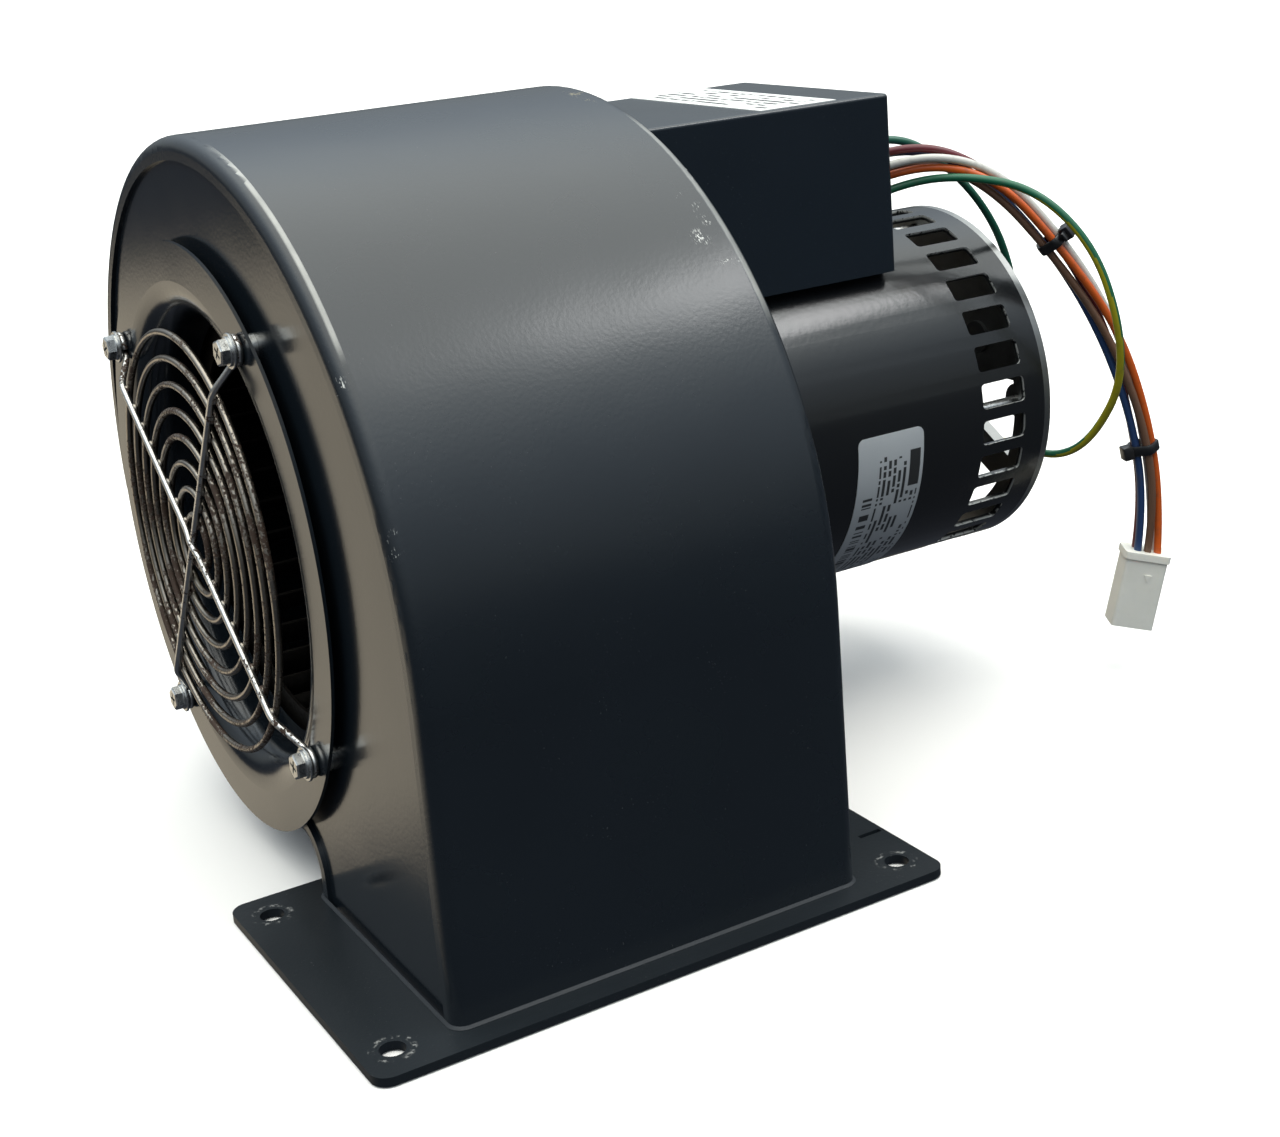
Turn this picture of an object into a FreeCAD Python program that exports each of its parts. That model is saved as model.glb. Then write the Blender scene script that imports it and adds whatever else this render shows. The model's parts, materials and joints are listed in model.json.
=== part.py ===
import FreeCAD
import Part
import math
import os

# Combustion fan: a sheet-metal scroll blower that hangs its motor off the back
# and blows down through a bolted flange. All sizes are in millimetres.
#
# Frame: +Z up, origin on the underside of the outlet flange at the middle of its
# four bolt holes, -Y towards the inlet, +X towards the straight wall of the scroll.

V = FreeCAD.Vector
CLOSE = 0.3          # gap between pieces that only sit beside each other
RUNNING = 0.02       # running clearance round the bearing balls
PAST = 1.0           # how far a cutting tool runs past the face it leaves

# ---------------------------------------------------------------- driving sizes
# Shaft and scroll housing
axis_offset = 110.0        # shaft axis to the middle of the outlet, along X
axis_height = 120.0        # shaft axis above the flange's underside
housing_width = 150.0      # outside, along Y
sheet = 1.5                # scroll wrap
side_sheet = 1.2           # side plates
edge_radius = 5.0          # rolled edge of the wrap
lip_width = 8.0            # wrap's lip over the side plates, from the outside
scroll_radius = 158.0      # largest of the scroll's four arcs
scroll_step = 25.0         # each next arc is this much smaller
scroll_shift_x = -5.5      # middle of the four arc centres, from the shaft
scroll_shift_z = -4.0
neck_width = 110.0         # outlet neck, outside, along X
neck_corner = 10.0         # bend where the scroll's floor turns down into the neck

# Outlet flange
flange_length = 210.0      # along Y
flange_width = 130.0       # along X
flange_sheet = 3.0
flange_corner = 6.0
bolt_spacing_x = 102.0
bolt_spacing_y = 188.0
bolt_hole = 8.4
drain_slot_length = 9.0
drain_slot_width = 2.0
drain_slot_inset = 26.0    # from the scroll's straight wall
drain_slot_shift = 9.0     # behind the middle of the flange's back margin
weld_leg = 1.0
weld_toe = 0.2
cutoff_sheet = 1.2
cutoff_height = 40.0       # top of the cutoff, above the flange's underside
cutoff_bend = 6.0
cutoff_return = 8.0

# Inlet
inlet_ring_radius = 106.0
inlet_ring_sheet = 1.2
inlet_standoff = 3.5       # outer face of the ring in front of the wrap's lip
bell_start = 92.0          # radius where the flat ring starts to roll in
bell_roll = 14.0
bell_throat_length = 8.0
seal_width = 4.0
seal_inner_radius = 84.0
spacer_wall = 2.0

# Finger guard
guard_wire = 2.5
guard_radius = 75.0
guard_pitch = 9.3
guard_rings = 8
guard_stand = 5.0          # middle of the rings in front of the inlet ring
guard_turn = 36.6          # first arm, clockwise from the top
guard_knee = 3.0           # arms bend back this far outside the largest ring
guard_foot = 1.0           # and reach the inlet ring this far inside the screw's eyelet
guard_eye_gap = 0.4        # between eyelet and screw
guard_weld = 0.3           # how deep crossing wires are welded into each other
screw_circle = 97.0
screw_thread = 5.0
screw_play = 0.25          # round the guard screws in their holes
screw_washer = 12.0
screw_washer_sheet = 1.2
screw_head_flats = 8.0
screw_head_height = 3.6
screw_recess = 5.2         # cross recess, tip to tip
screw_recess_width = 1.1
screw_recess_depth = 1.8
screw_length = 17.0
nut_height = 4.0
head_slot = 1.0            # slotted heads: width and depth of the slot
screw_root = 0.5           # how far a screw's body runs up into its head

# Blower wheel
wheel_radius = 86.0
wheel_inner_radius = 72.0
wheel_front = -54.0        # front rim's face, along Y
wheel_depth = 90.0
wheel_sheet = 1.2
blade_count = 36
blade_sheet = 1.0
hub_radius = 16.0
hub_length = 22.0
hub_screw = 6.0
hub_screw_stand = 1.5      # above the hub
shaft_stub = 3.0           # shaft in front of the hub
blade_inset = 0.5          # blades stop this far inside the rim's two edges
blade_bulge = 3.2          # how far a blade's middle leans back from its root
blade_hook = 0.6           # and its tip

# Motor
motor_radius = 71.0
shell_sheet = 2.0
motor_length = 171.0       # from the housing's back face to the rear rim
gasket_sheet = 1.5
bell_flange = 3.0          # end bells' rims
bell_recess = 5.0          # rear end bell's floor, in front of its rim
bell_floor = 5.0
bell_wall = 2.0
bell_lip = 3.0             # rear bell's wall in front of its floor
bell_window_inner = 34.0   # windows between the rear bell's spokes
bell_window_outer = 61.0
bell_window_top = 8.0      # the bell is closed higher than this above the shaft
bell_spokes = 6
bell_spoke_width = 14.0
bolt_boss = 7.0
bell_spigot = 6.0          # front bell's length inside the shell
bell_pocket = 9.0          # groove round the front bearing's boss
bearing_wall = 5.0         # metal round each bearing
bearing_lip = 1.0          # rear boss in front of its bearing
front_bearing_set = 6.0    # front bearing, behind the motor's front face
rear_bearing_set = 8.0     # rear bearing, in front of the rear rim
bell_shaft_gap = 4.0
spring_washer = 0.8
vent_count = 30
vent_length = 21.0
vent_width = 10.0
vent_corner = 1.6
vent_from_rear = 23.5      # middle of the vents, in front of the rear rim
shaft_radius = 6.35
shaft_seat_radius = 9.0
stack_length = 62.0
stack_start = 36.0         # stator stack, behind the motor's front face
stator_bore = 38.0
slot_count = 24
slot_bottom_radius = 58.0
slot_width = 4.5
slot_mouth = 2.4
slot_lip = 3.0             # tooth tips, from the bore to the slots
air_gap = 0.6
winding_overhang = 14.0
winding_gap = 0.15         # insulation beside each slot bar
winding_skirt = 1.5        # end turns outside the slot bottoms
winding_crown = 5.0
winding_reach = 2.0        # slot bars run this far into the end turns
cage_bars = 20
cage_bar_radius = 1.6
cage_bar_inset = 5.0       # bar circle inside the stator's bore
cage_ring_inset = 2.0
cage_ring_inner = 22.0
cage_ring_depth = 6.0
cage_joint = 1.0           # end rings sunk into the core, and fins into the end rings
cage_fins = 8
cage_fin_inner = 25.0
cage_fin_outer = 34.0
cage_fin_length = 5.0
cage_fin_sheet = 2.0
stack_skin = 1.0           # rotor core shorter than the stator at each end
shaft_shoulder = 8.0       # thick part of the shaft beyond the stack
shaft_chamfer = 0.8
clip_groove = 1.2
clip_depth = 0.6
clip_sheet = 1.0
clip_stand = 1.4           # clip outside the shaft
clip_gap = 6.0
clip_space = 0.4           # between each groove and its bearing
bearing_outer = 17.5
bearing_width = 11.0
ball_radius = 2.4
ball_count = 8
race_half = 1.7            # rings start this far from the ball circle
ball_inset = 0.3           # ball circle inside the middle of the two rings
spring_width = 3.0
bolt_circle = 62.5
bolt_end = 4.0             # through bolts start this far behind the motor's front face
through_bolt = 4.8
mount_screw_circle = 50.0
mount_screw = 6.0
mount_screw_head = 10.0    # across flats
mount_screw_head_height = 4.0
mount_screw_length = 11.0
bolt_head = 7.0            # through bolts, across flats
bolt_head_height = 3.5
label_plate_length = 31.0
label_plate_start = 76.0   # behind the housing's back face
label_plate_sheet = 0.3
label_plate_turn = 88.0    # first edge, clockwise from the top
label_plate_sweep = 78.0
label_plate_corner = 3.0
fan_radius = 50.0
fan_blades = 8
fan_gap = 15.0             # behind the stack
fan_length = 19.0
fan_hub = 13.0
fan_sheet = 1.5
fan_blade_sheet = 2.0
motor_plate_hole = 28.0
gasket_bore = 30.0
gasket_inset = 3.0

# Control box
box_width = 99.0
box_length = 114.0
box_bottom = 179.0
box_top = 247.0
box_sheet = 1.2
box_corner = 2.5
box_saddle_gap = 1.2       # between the motor shell and the box's curved floor
lid_edge = 2.0
grommet_radius = 12.5
grommet_lip = 2.0
grommet_x = 28.0           # from the shaft axis
grommet_drop = 32.0        # below the box's top
lid_skirt = 10.0
lid_gap = 0.1
lid_screw_spacing = 68.0
lid_screw_drop = 6.0       # below the lid's seam
lid_screw = 3.0
lid_screw_head = 3.2       # radius
lid_screw_head_height = 1.8
lid_screw_length = 6.0
box_screw_lift = 8.0       # above the middle of the box
box_screw = 4.0
box_screw_head = 4.0       # radius
box_screw_head_height = 2.5
box_screw_length = 10.0
gasket_margin = 14.0
box_label_start = 57.0
box_label_length = 34.0
box_label_inset = 2.5
box_label_sheet = 0.2
capacitor_radius = 15.0
capacitor_length = 62.0
capacitor_back = 30.0      # behind the box's front
capacitor_drop = 26.0      # below the box's top
capacitor_edge = 2.0
tab_length = 8.0
tab_width = 6.0
tab_sheet = 0.8
tab_spacing = 14.0
strap_width = 12.0
strap_sheet = 1.0
terminal_ways = 6
terminal_pitch = 10.0
terminal_depth = 18.0
terminal_back = 62.0
terminal_drop = 46.0
terminal_base = 8.0
terminal_wall = 2.0
terminal_height = 14.0

# Wiring
wire_diameter = 3.2
tie_width = 4.5
tie_bore = 5.7
tie_band = 1.3
tie_head_width = 6.4       # the ties' square heads
tie_head_length = 6.8
tie_head_height = 5.0
tie_head_corner = 0.8
tie_tail_width = 3.0
tie_tail_sheet = 1.2
plug_width = 17.5
plug_depth = 12.5
plug_length = 32.5
plug_rim = 0.7
plug_rim_height = 3.0
plug_pitch = 5.0
plug_pocket = 3.4
plug_pocket_depth = 13.0
plug_corner = 1.2
plug_rim_corner = 1.6
latch_width = 5.0
latch_height = 1.6
latch_step = 1.0           # hook at the latch's end
latch_hook = 3.0
latch_start = 8.0
latch_end = 4.0            # short of the plug's open end
arrow_height = 0.4         # moulded polarity mark on the plain side
arrow_size = 3.0
arrow_start = 9.0
contact_radius = 1.2
contact_bore = 0.8
contact_short = 2.0        # sleeves stop short of the open end
earth_screw_circle = 44.0
earth_screw_angle = 120.0
earth_thread = 4.0
earth_head = 3.6           # radius
earth_head_height = 2.4
earth_screw_length = 9.0
lug_ring = 4.5             # ring lug's radius
lug_sheet = 1.0
lug_width = 4.0
lug_reach = 6.2            # from the screw to the heel of the lug's barrel
lug_lift = 2.0
lug_barrel = 2.2           # barrel's radius
lead_bush_circle = 46.0
lead_bush_angle = 60.0
lead_bush_radius = 5.0
lead_bush_lip = 1.5

# ---------------------------------------------------------------- derived sizes
ax, az = -axis_offset, axis_height
front = -housing_width / 2
back = housing_width / 2
ring_face = front - inlet_standoff
rear = back + motor_length
shell_inner = motor_radius - shell_sheet
neck_right = ax + scroll_shift_x + scroll_step / 2 + scroll_radius
neck_left = neck_right - neck_width
throat_radius = bell_start - bell_roll
plate_depth = front + sheet - ring_face      # from the ring's face to the side plate's
roll_reach = math.sqrt((bell_roll - inlet_ring_sheet) ** 2 - (bell_roll - plate_depth) ** 2)
inlet_plate_hole = bell_start - roll_reach + CLOSE
screw_hole = screw_thread / 2 + screw_play
ball_circle = (bearing_outer + shaft_radius - 2 * ball_inset) / 2
bolt_holes = [(sx * bolt_spacing_x / 2, sy * bolt_spacing_y / 2) for sx in (-1, 1) for sy in (-1, 1)]


# ---------------------------------------------------------------- shared helpers
def around(radius, degrees, y):
    """A point round the shaft, clockwise from the top as the inlet is faced."""
    a = math.radians(degrees)
    return V(ax + radius * math.sin(a), y, az + radius * math.cos(a))


def drum(radius, y0, y1, bore=0.0):
    """A round piece on the shaft axis, from y0 to y1."""
    solid = Part.makeCylinder(radius, y1 - y0, V(ax, y0, az), V(0, 1, 0))
    if bore:
        solid = solid.cut(Part.makeCylinder(bore, y1 - y0 + 2, V(ax, y0 - 1, az), V(0, 1, 0)))
    return solid


def pin(start, direction, radius, length):
    return Part.makeCylinder(radius, length, start, direction)


def block(x0, x1, y0, y1, z0, z1):
    return Part.makeBox(x1 - x0, y1 - y0, z1 - z0, V(x0, y0, z0))


def hexagon(centre, direction, flats, height):
    """A hexagonal bar along Y."""
    r = flats / math.sqrt(3)
    corners = [V(centre.x + r * math.cos(math.radians(60 * k)), centre.y,
                 centre.z + r * math.sin(math.radians(60 * k))) for k in range(7)]
    return Part.Face(Part.makePolygon(corners)).extrude(direction * height)


def spun(points, degrees=360.0, start=0.0):
    """Turns a closed outline of (radius, y) points about the shaft axis."""
    outline = Part.makePolygon([V(ax, y, az + r) for r, y in points + points[:1]])
    face = Part.Face(outline)
    face.rotate(V(ax, 0, az), V(0, 1, 0), start)
    return face.revolve(V(ax, 0, az), V(0, 1, 0), degrees)


def turned(shape, degrees):
    """A copy turned clockwise about the shaft as the inlet is faced."""
    copy = shape.copy()
    copy.rotate(V(ax, 0, az), V(0, 1, 0), degrees)
    return copy


def repeated(shape, count):
    """Copies spread evenly round the shaft."""
    return [turned(shape, 360.0 / count * k) for k in range(count)]


def slotted_screw(seat, head_radius, head_height, thread, length):
    """A round-headed screw along Y: the head stands on its seat and the body runs forwards."""
    head = pin(seat, V(0, 1, 0), head_radius, head_height)
    screw = head.fuse(pin(seat + V(0, screw_root, 0), V(0, -1, 0), thread / 2, length))
    reach, half = head_radius + PAST, head_slot / 2
    top = seat.y + head_height
    return screw.cut(block(seat.x - reach, seat.x + reach, top - head_slot, top + PAST,
                           seat.z - half, seat.z + half))


def rounded_block(x0, x1, y0, y1, z0, z1, radius):
    """A block with its four upright edges rounded."""
    solid = block(x0, x1, y0, y1, z0, z1)
    upright = [e for e in solid.Edges if abs(e.Vertexes[0].Z - e.Vertexes[1].Z) > (z1 - z0) / 2]
    return solid.makeFillet(radius, upright)


def group(solids):
    return Part.makeCompound(solids)


# ---------------------------------------------------------------- scroll housing
def scroll_outline(inset, bottom):
    """The scroll seen from the inlet, drawn this far inside its outer surface, down to bottom."""
    step = scroll_step
    cx0 = ax + scroll_shift_x - step / 2
    cx1 = cx0 + step
    cz0 = az + scroll_shift_z - step / 2
    cz1 = cz0 + step
    arcs = []
    for cx, cz, radius, angle in ((cx1, cz0, scroll_radius, 90), (cx1, cz1, scroll_radius - step, 0),
                                  (cx0, cz1, scroll_radius - 2 * step, -90)):
        r = radius - inset
        ends = [V(cx + r * math.sin(math.radians(a)), 0, cz + r * math.cos(math.radians(a)))
                for a in (angle, angle - 45, angle - 90)]
        arcs.append(Part.Arc(*ends).toShape())
    right, floor = neck_right - inset, arcs[-1].Vertexes[-1].Point
    left, bend = neck_left + inset, neck_corner + inset
    corner = V(neck_left - neck_corner, 0, floor.z - bend)
    diagonal = bend * math.sqrt(0.5)
    turn = Part.Arc(V(corner.x, 0, floor.z), V(corner.x + diagonal, 0, corner.z + diagonal),
                    V(left, 0, corner.z))
    edges = [Part.LineSegment(V(right, 0, bottom), V(right, 0, cz0)).toShape()] + arcs + [
        Part.LineSegment(floor, V(corner.x, 0, floor.z)).toShape(), turn.toShape(),
        Part.LineSegment(V(left, 0, corner.z), V(left, 0, bottom)).toShape(),
        Part.LineSegment(V(left, 0, bottom), V(right, 0, bottom)).toShape()]
    return Part.Wire(edges)


def scroll_body(inset, y0, y1, bottom, edge):
    """The scroll's outline as a solid from y0 to y1 with its two rims rounded."""
    outline = scroll_outline(inset, bottom)
    outline.translate(V(0, y0, 0))
    solid = Part.Face(outline).extrude(V(0, y1 - y0, 0))
    if not edge:
        return solid
    rims = [e for e in solid.Edges
            if abs(e.Vertexes[0].Y - e.Vertexes[-1].Y) < 0.01
            and not (abs(e.Vertexes[0].Z - bottom) < 0.01 and abs(e.Vertexes[-1].Z - bottom) < 0.01)]
    return solid.makeFillet(edge, rims)


def scroll_wrap():
    outer = scroll_body(0, front, back, 0, edge_radius)
    inner = scroll_body(sheet, front + sheet, back - sheet, -1, edge_radius - sheet)
    opening = scroll_body(lip_width, front - 1, back + 1, -1, 0)
    return outer.cut(inner).cut(opening)


def side_plate(face_y, outward, hole, screw_holes):
    """A flat cheek held behind the wrap's lip. outward is -1 at the inlet and 1 at the motor."""
    y0, y1 = sorted((face_y - outward * sheet, face_y - outward * (sheet + side_sheet)))
    plate = scroll_body(edge_radius + CLOSE, y0, y1, 0, 0)
    plate = plate.cut(drum(hole, y0 - PAST, y1 + PAST))
    for place, radius in screw_holes:
        plate = plate.cut(pin(V(place.x, y0 - PAST, place.z), V(0, 1, 0), radius, side_sheet + 2 * PAST))
    return plate


def inlet_side_plate():
    return side_plate(front, -1, inlet_plate_hole, [(p, screw_hole) for p in screw_places(0)])


def motor_side_plate():
    holes = [(p, mount_screw / 2 + CLOSE) for p in motor_screw_places(0)]
    holes += [(p, box_screw / 2 + CLOSE) for p in box_screw_places(0)]
    return side_plate(back, 1, motor_plate_hole, holes)


def screw_places(y):
    return [around(screw_circle, guard_turn + 90 * k, y) for k in range(4)]


def motor_screw_places(y):
    return [around(mount_screw_circle, 45 + 90 * k, y) for k in range(4)]


def box_screw_places(y):
    return [V(ax + side * box_width / 4, y, (box_bottom + box_top) / 2 + box_screw_lift) for side in (-1, 1)]


def base_flange():
    plate = rounded_block(-flange_width / 2, flange_width / 2, -flange_length / 2, flange_length / 2,
                          0, flange_sheet, flange_corner)
    neck = rounded_block(neck_left, neck_right, front, back, -PAST, flange_sheet + PAST, edge_radius)
    plate = plate.cut(neck)
    for x, y in bolt_holes:
        plate = plate.cut(pin(V(x, y, -PAST), V(0, 0, 1), bolt_hole / 2, flange_sheet + 2 * PAST))
    slot_x = neck_right - drain_slot_inset
    slot_y = (flange_length / 2 + back) / 2 + drain_slot_shift
    half_x, half_y = drain_slot_width / 2, drain_slot_length / 2
    slot = block(slot_x - half_x, slot_x + half_x, slot_y - half_y, slot_y + half_y,
                 -PAST, flange_sheet + PAST)
    return plate.cut(slot)


def flange_weld():
    """The fillet weld round the neck, on top of the flange."""
    top = flange_sheet + weld_leg
    bead = rounded_block(neck_left - weld_leg, neck_right + weld_leg, front - weld_leg, back + weld_leg,
                         flange_sheet, top, edge_radius + weld_leg)
    rim = [e for e in bead.Edges if min(v.Z for v in e.Vertexes) > top - 0.01]
    bead = bead.makeChamfer(weld_leg - weld_toe, rim)
    return bead.cut(rounded_block(neck_left, neck_right, front, back, 0, top + PAST, edge_radius))


def outlet_cutoff():
    """The curved strip inside the neck that splits the outlet from the start of the scroll."""
    x0 = neck_left + sheet
    x1 = x0 + cutoff_sheet
    y0, y1 = front + edge_radius, back - edge_radius
    top = cutoff_height
    centre = V(x1 - cutoff_bend, y0, top - cutoff_bend)
    inner = cutoff_bend - cutoff_sheet
    d = math.sqrt(0.5)
    end = centre.x - cutoff_return
    bottom = flange_sheet
    edges = [
        Part.LineSegment(V(x0, y0, bottom), V(x1, y0, bottom)),
        Part.LineSegment(V(x1, y0, bottom), V(x1, y0, centre.z)),
        Part.Arc(V(x1, y0, centre.z), V(centre.x + cutoff_bend * d, y0, centre.z + cutoff_bend * d),
                 V(centre.x, y0, top)),
        Part.LineSegment(V(centre.x, y0, top), V(end, y0, top)),
        Part.LineSegment(V(end, y0, top), V(end, y0, top - cutoff_sheet)),
        Part.LineSegment(V(end, y0, top - cutoff_sheet), V(centre.x, y0, top - cutoff_sheet)),
        Part.Arc(V(centre.x, y0, top - cutoff_sheet), V(centre.x + inner * d, y0, centre.z + inner * d),
                 V(x0, y0, centre.z)),
        Part.LineSegment(V(x0, y0, centre.z), V(x0, y0, bottom))]
    return Part.Face(Part.Wire([e.toShape() for e in edges])).extrude(V(0, y1 - y0, 0))


# ---------------------------------------------------------------- inlet
def inlet_ring():
    """Flat ring that rolls inwards into a short throat."""
    t = inlet_ring_sheet
    face_y, roll_y = ring_face, ring_face + bell_roll
    end_y = roll_y + bell_throat_length
    d = math.sqrt(0.5)

    def at(r, y):
        return V(ax, y, az + r)

    back_roll = bell_roll - t
    edges = [
        Part.LineSegment(at(inlet_ring_radius, face_y), at(bell_start, face_y)),
        Part.Arc(at(bell_start, face_y), at(bell_start - bell_roll * d, roll_y - bell_roll * d),
                 at(throat_radius, roll_y)),
        Part.LineSegment(at(throat_radius, roll_y), at(throat_radius, end_y)),
        Part.LineSegment(at(throat_radius, end_y), at(throat_radius + t, end_y)),
        Part.LineSegment(at(throat_radius + t, end_y), at(throat_radius + t, roll_y)),
        Part.Arc(at(throat_radius + t, roll_y), at(bell_start - back_roll * d, roll_y - back_roll * d),
                 at(bell_start, face_y + t)),
        Part.LineSegment(at(bell_start, face_y + t), at(inlet_ring_radius, face_y + t)),
        Part.LineSegment(at(inlet_ring_radius, face_y + t), at(inlet_ring_radius, face_y))]
    face = Part.Face(Part.Wire([e.toShape() for e in edges]))
    ring = face.revolve(V(ax, 0, az), V(0, 1, 0), 360)
    for place in screw_places(face_y - PAST):
        ring = ring.cut(pin(place, V(0, 1, 0), screw_hole, t + 2 * PAST))
    return ring


def inlet_seal():
    """Foam ring that closes the gap behind the inlet ring."""
    roll_y = ring_face + bell_roll
    reach = math.sqrt((bell_roll - inlet_ring_sheet) ** 2 - (bell_start - seal_inner_radius) ** 2)
    return drum(seal_inner_radius + seal_width, roll_y - reach, front + sheet, seal_inner_radius)


def inlet_spacers():
    y0, y1 = ring_face + inlet_ring_sheet, front + sheet
    solids = []
    for place in screw_places(y0):
        tube = pin(place, V(0, 1, 0), screw_thread / 2 + spacer_wall, y1 - y0)
        solids.append(tube.cut(pin(place - V(0, PAST, 0), V(0, 1, 0), screw_hole, y1 - y0 + 2 * PAST)))
    return group(solids)


def guard_arm(degrees):
    """A stout wire from the middle of the guard, cranked back to an eyelet on the inlet ring."""
    r = guard_wire / 2
    high = ring_face - guard_stand - guard_wire + guard_weld
    low = ring_face - r
    eye_radius = screw_thread / 2 + r + guard_eye_gap
    foot = screw_circle - screw_thread / 2 - guard_wire - guard_foot
    points = [around(0, 0, high), around(guard_radius + guard_knee, degrees, high),
              around(foot, degrees, low), around(screw_circle - eye_radius, degrees, low)]
    rods = [pin(p, q - p, r, (q - p).Length) for p, q in zip(points, points[1:])]
    joints = [Part.makeSphere(r, points[1]), Part.makeSphere(r, points[2])]
    return rods + joints + [Part.makeTorus(eye_radius, r, around(screw_circle, degrees, low), V(0, 1, 0))]


def finger_guard():
    """Concentric wire rings welded behind two crossing wires."""
    y = ring_face - guard_stand
    rings = [Part.makeTorus(guard_radius - guard_pitch * k, guard_wire / 2, V(ax, y, az), V(0, 1, 0))
             for k in range(guard_rings)]
    wires = [piece for k in range(4) for piece in guard_arm(guard_turn + 90 * k)]
    return wires[0].multiFuse(wires[1:] + rings)


def guard_screws():
    """Washer-faced hexagon screws with a cross recess."""
    seat = ring_face - guard_wire
    half_long, half_wide = screw_recess / 2, screw_recess_width / 2
    solids = []
    for place in screw_places(seat):
        face = place - V(0, screw_washer_sheet, 0)
        screw = pin(face, V(0, 1, 0), screw_washer / 2, screw_washer_sheet)
        screw = screw.fuse(hexagon(face, V(0, -1, 0), screw_head_flats, screw_head_height))
        screw = screw.fuse(pin(place - V(0, screw_root, 0), V(0, 1, 0), screw_thread / 2, screw_length))
        top = face.y - screw_head_height
        for w, h in ((half_long, half_wide), (half_wide, half_long)):
            screw = screw.cut(block(place.x - w, place.x + w, top - PAST, top + screw_recess_depth,
                                    place.z - h, place.z + h))
        solids.append(screw)
    return group(solids)


def guard_nuts():
    solids = []
    for place in screw_places(front + sheet + side_sheet):
        nut = hexagon(place, V(0, 1, 0), screw_head_flats, nut_height)
        bore = pin(place - V(0, PAST, 0), V(0, 1, 0), screw_thread / 2, nut_height + 2 * PAST)
        solids.append(nut.cut(bore))
    return group(solids)


# ---------------------------------------------------------------- blower wheel
def blade_profile():
    """One forward-curved blade seen along the shaft, at the top of the wheel."""
    root, tip = wheel_inner_radius + blade_inset, wheel_radius - blade_inset
    middle = (root + tip) / 2

    def curve(offset):
        return [V(ax + lean + offset, 0, az + r) for r, lean in
                ((root, 0), (middle, -blade_bulge), (tip, -blade_hook))]

    a, b = curve(0), curve(blade_sheet)
    edges = [Part.Arc(*a), Part.LineSegment(a[2], b[2]),
             Part.Arc(b[2], b[1], b[0]), Part.LineSegment(b[0], a[0])]
    return Part.Face(Part.Wire([e.toShape() for e in edges]))


def impeller_blades():
    y0, y1 = wheel_front + wheel_sheet, wheel_front + wheel_depth
    blade = blade_profile().extrude(V(0, y1 - y0, 0))
    blade.translate(V(0, y0, 0))
    return group(repeated(blade, blade_count))


def impeller_rim():
    return drum(wheel_radius, wheel_front, wheel_front + wheel_sheet, wheel_inner_radius)


def impeller_back_plate():
    y = wheel_front + wheel_depth
    return drum(wheel_radius, y, y + wheel_sheet, shaft_radius)


def impeller_hub():
    y1 = wheel_front + wheel_depth
    hub = drum(hub_radius, y1 - hub_length, y1, shaft_radius)
    return hub.cut(pin(V(ax, y1 - hub_length / 2, az), V(0, 0, 1), hub_screw / 2, hub_radius + PAST))


def hub_set_screw():
    middle = wheel_front + wheel_depth - hub_length / 2
    top = az + hub_radius + hub_screw_stand
    screw = pin(V(ax, middle, az + shaft_radius), V(0, 0, 1), hub_screw / 2, top - az - shaft_radius)
    half = head_slot / 2
    return screw.cut(block(ax - hub_screw, ax + hub_screw, middle - half, middle + half,
                           top - head_slot, top + PAST))


# ---------------------------------------------------------------- motor
stack_y0 = back + stack_start
stack_y1 = stack_y0 + stack_length
front_bearing_y = back + front_bearing_set
rear_bearing_y = rear - rear_bearing_set - bearing_width
shaft_start = wheel_front + wheel_depth - hub_length - shaft_stub
bar_circle = stator_bore - cage_bar_inset
shaft_end = rear_bearing_y + bearing_width
clip_grooves = [y - clip_groove - clip_space for y in (front_bearing_y, rear_bearing_y)]


def motor_shell():
    shell = drum(motor_radius, back + bell_flange, rear - bell_flange, shell_inner)
    middle = rear - vent_from_rear
    half_x, half_y = vent_width / 2, vent_length / 2
    cutter = block(ax - half_x, ax + half_x, middle - half_y, middle + half_y,
                   az + shell_inner - shell_sheet, az + motor_radius + shell_sheet)
    corners = [e for e in cutter.Edges if abs(e.Vertexes[0].Z - e.Vertexes[1].Z) > shell_sheet]
    return shell.cut(group(repeated(cutter.makeFillet(vent_corner, corners), vent_count)))


def front_end_bell():
    spigot = back + bell_flange + bell_spigot
    boss = bearing_outer + bearing_wall
    boss_end = front_bearing_y + bearing_width
    floor = back + bell_floor
    bell = drum(motor_radius, back, back + bell_flange).fuse(drum(shell_inner, back, spigot))
    bell = bell.cut(drum(boss + bell_pocket, floor, spigot + PAST, boss))
    bell = bell.fuse(drum(boss, back, boss_end))
    bell = bell.cut(drum(bearing_outer, front_bearing_y, boss_end + PAST))
    bell = bell.cut(drum(shaft_radius + bell_shaft_gap, back - PAST, boss_end))
    for place in motor_screw_places(back - PAST):
        bell = bell.cut(pin(place, V(0, 1, 0), mount_screw / 2, mount_screw_length + PAST))
    for k in range(4):
        start = around(bolt_circle, 90 * k, back + bolt_end)
        bell = bell.cut(pin(start, V(0, 1, 0), through_bolt / 2, bell_flange + bell_spigot))
    return bell


def bell_windows(y0, y1):
    """The openings between the rear bell's spokes, clear of the bolt bosses."""
    windows = drum(bell_window_outer, y0, y1, bell_window_inner)
    half = bell_spoke_width / 2
    spoke = block(ax - half, ax + half, y0 - PAST, y1 + PAST, az, az + motor_radius)
    for k in range(4):
        start = around(bolt_circle, 90 * k, y0 - PAST)
        windows = windows.cut(pin(start, V(0, 1, 0), bolt_boss, y1 - y0 + 2 * PAST))
    cover = block(ax - motor_radius, ax + motor_radius, y0 - PAST, y1 + PAST,
                  az + bell_window_top, az + motor_radius)
    return windows.cut(group(repeated(spoke, bell_spokes))).cut(cover)


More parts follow.
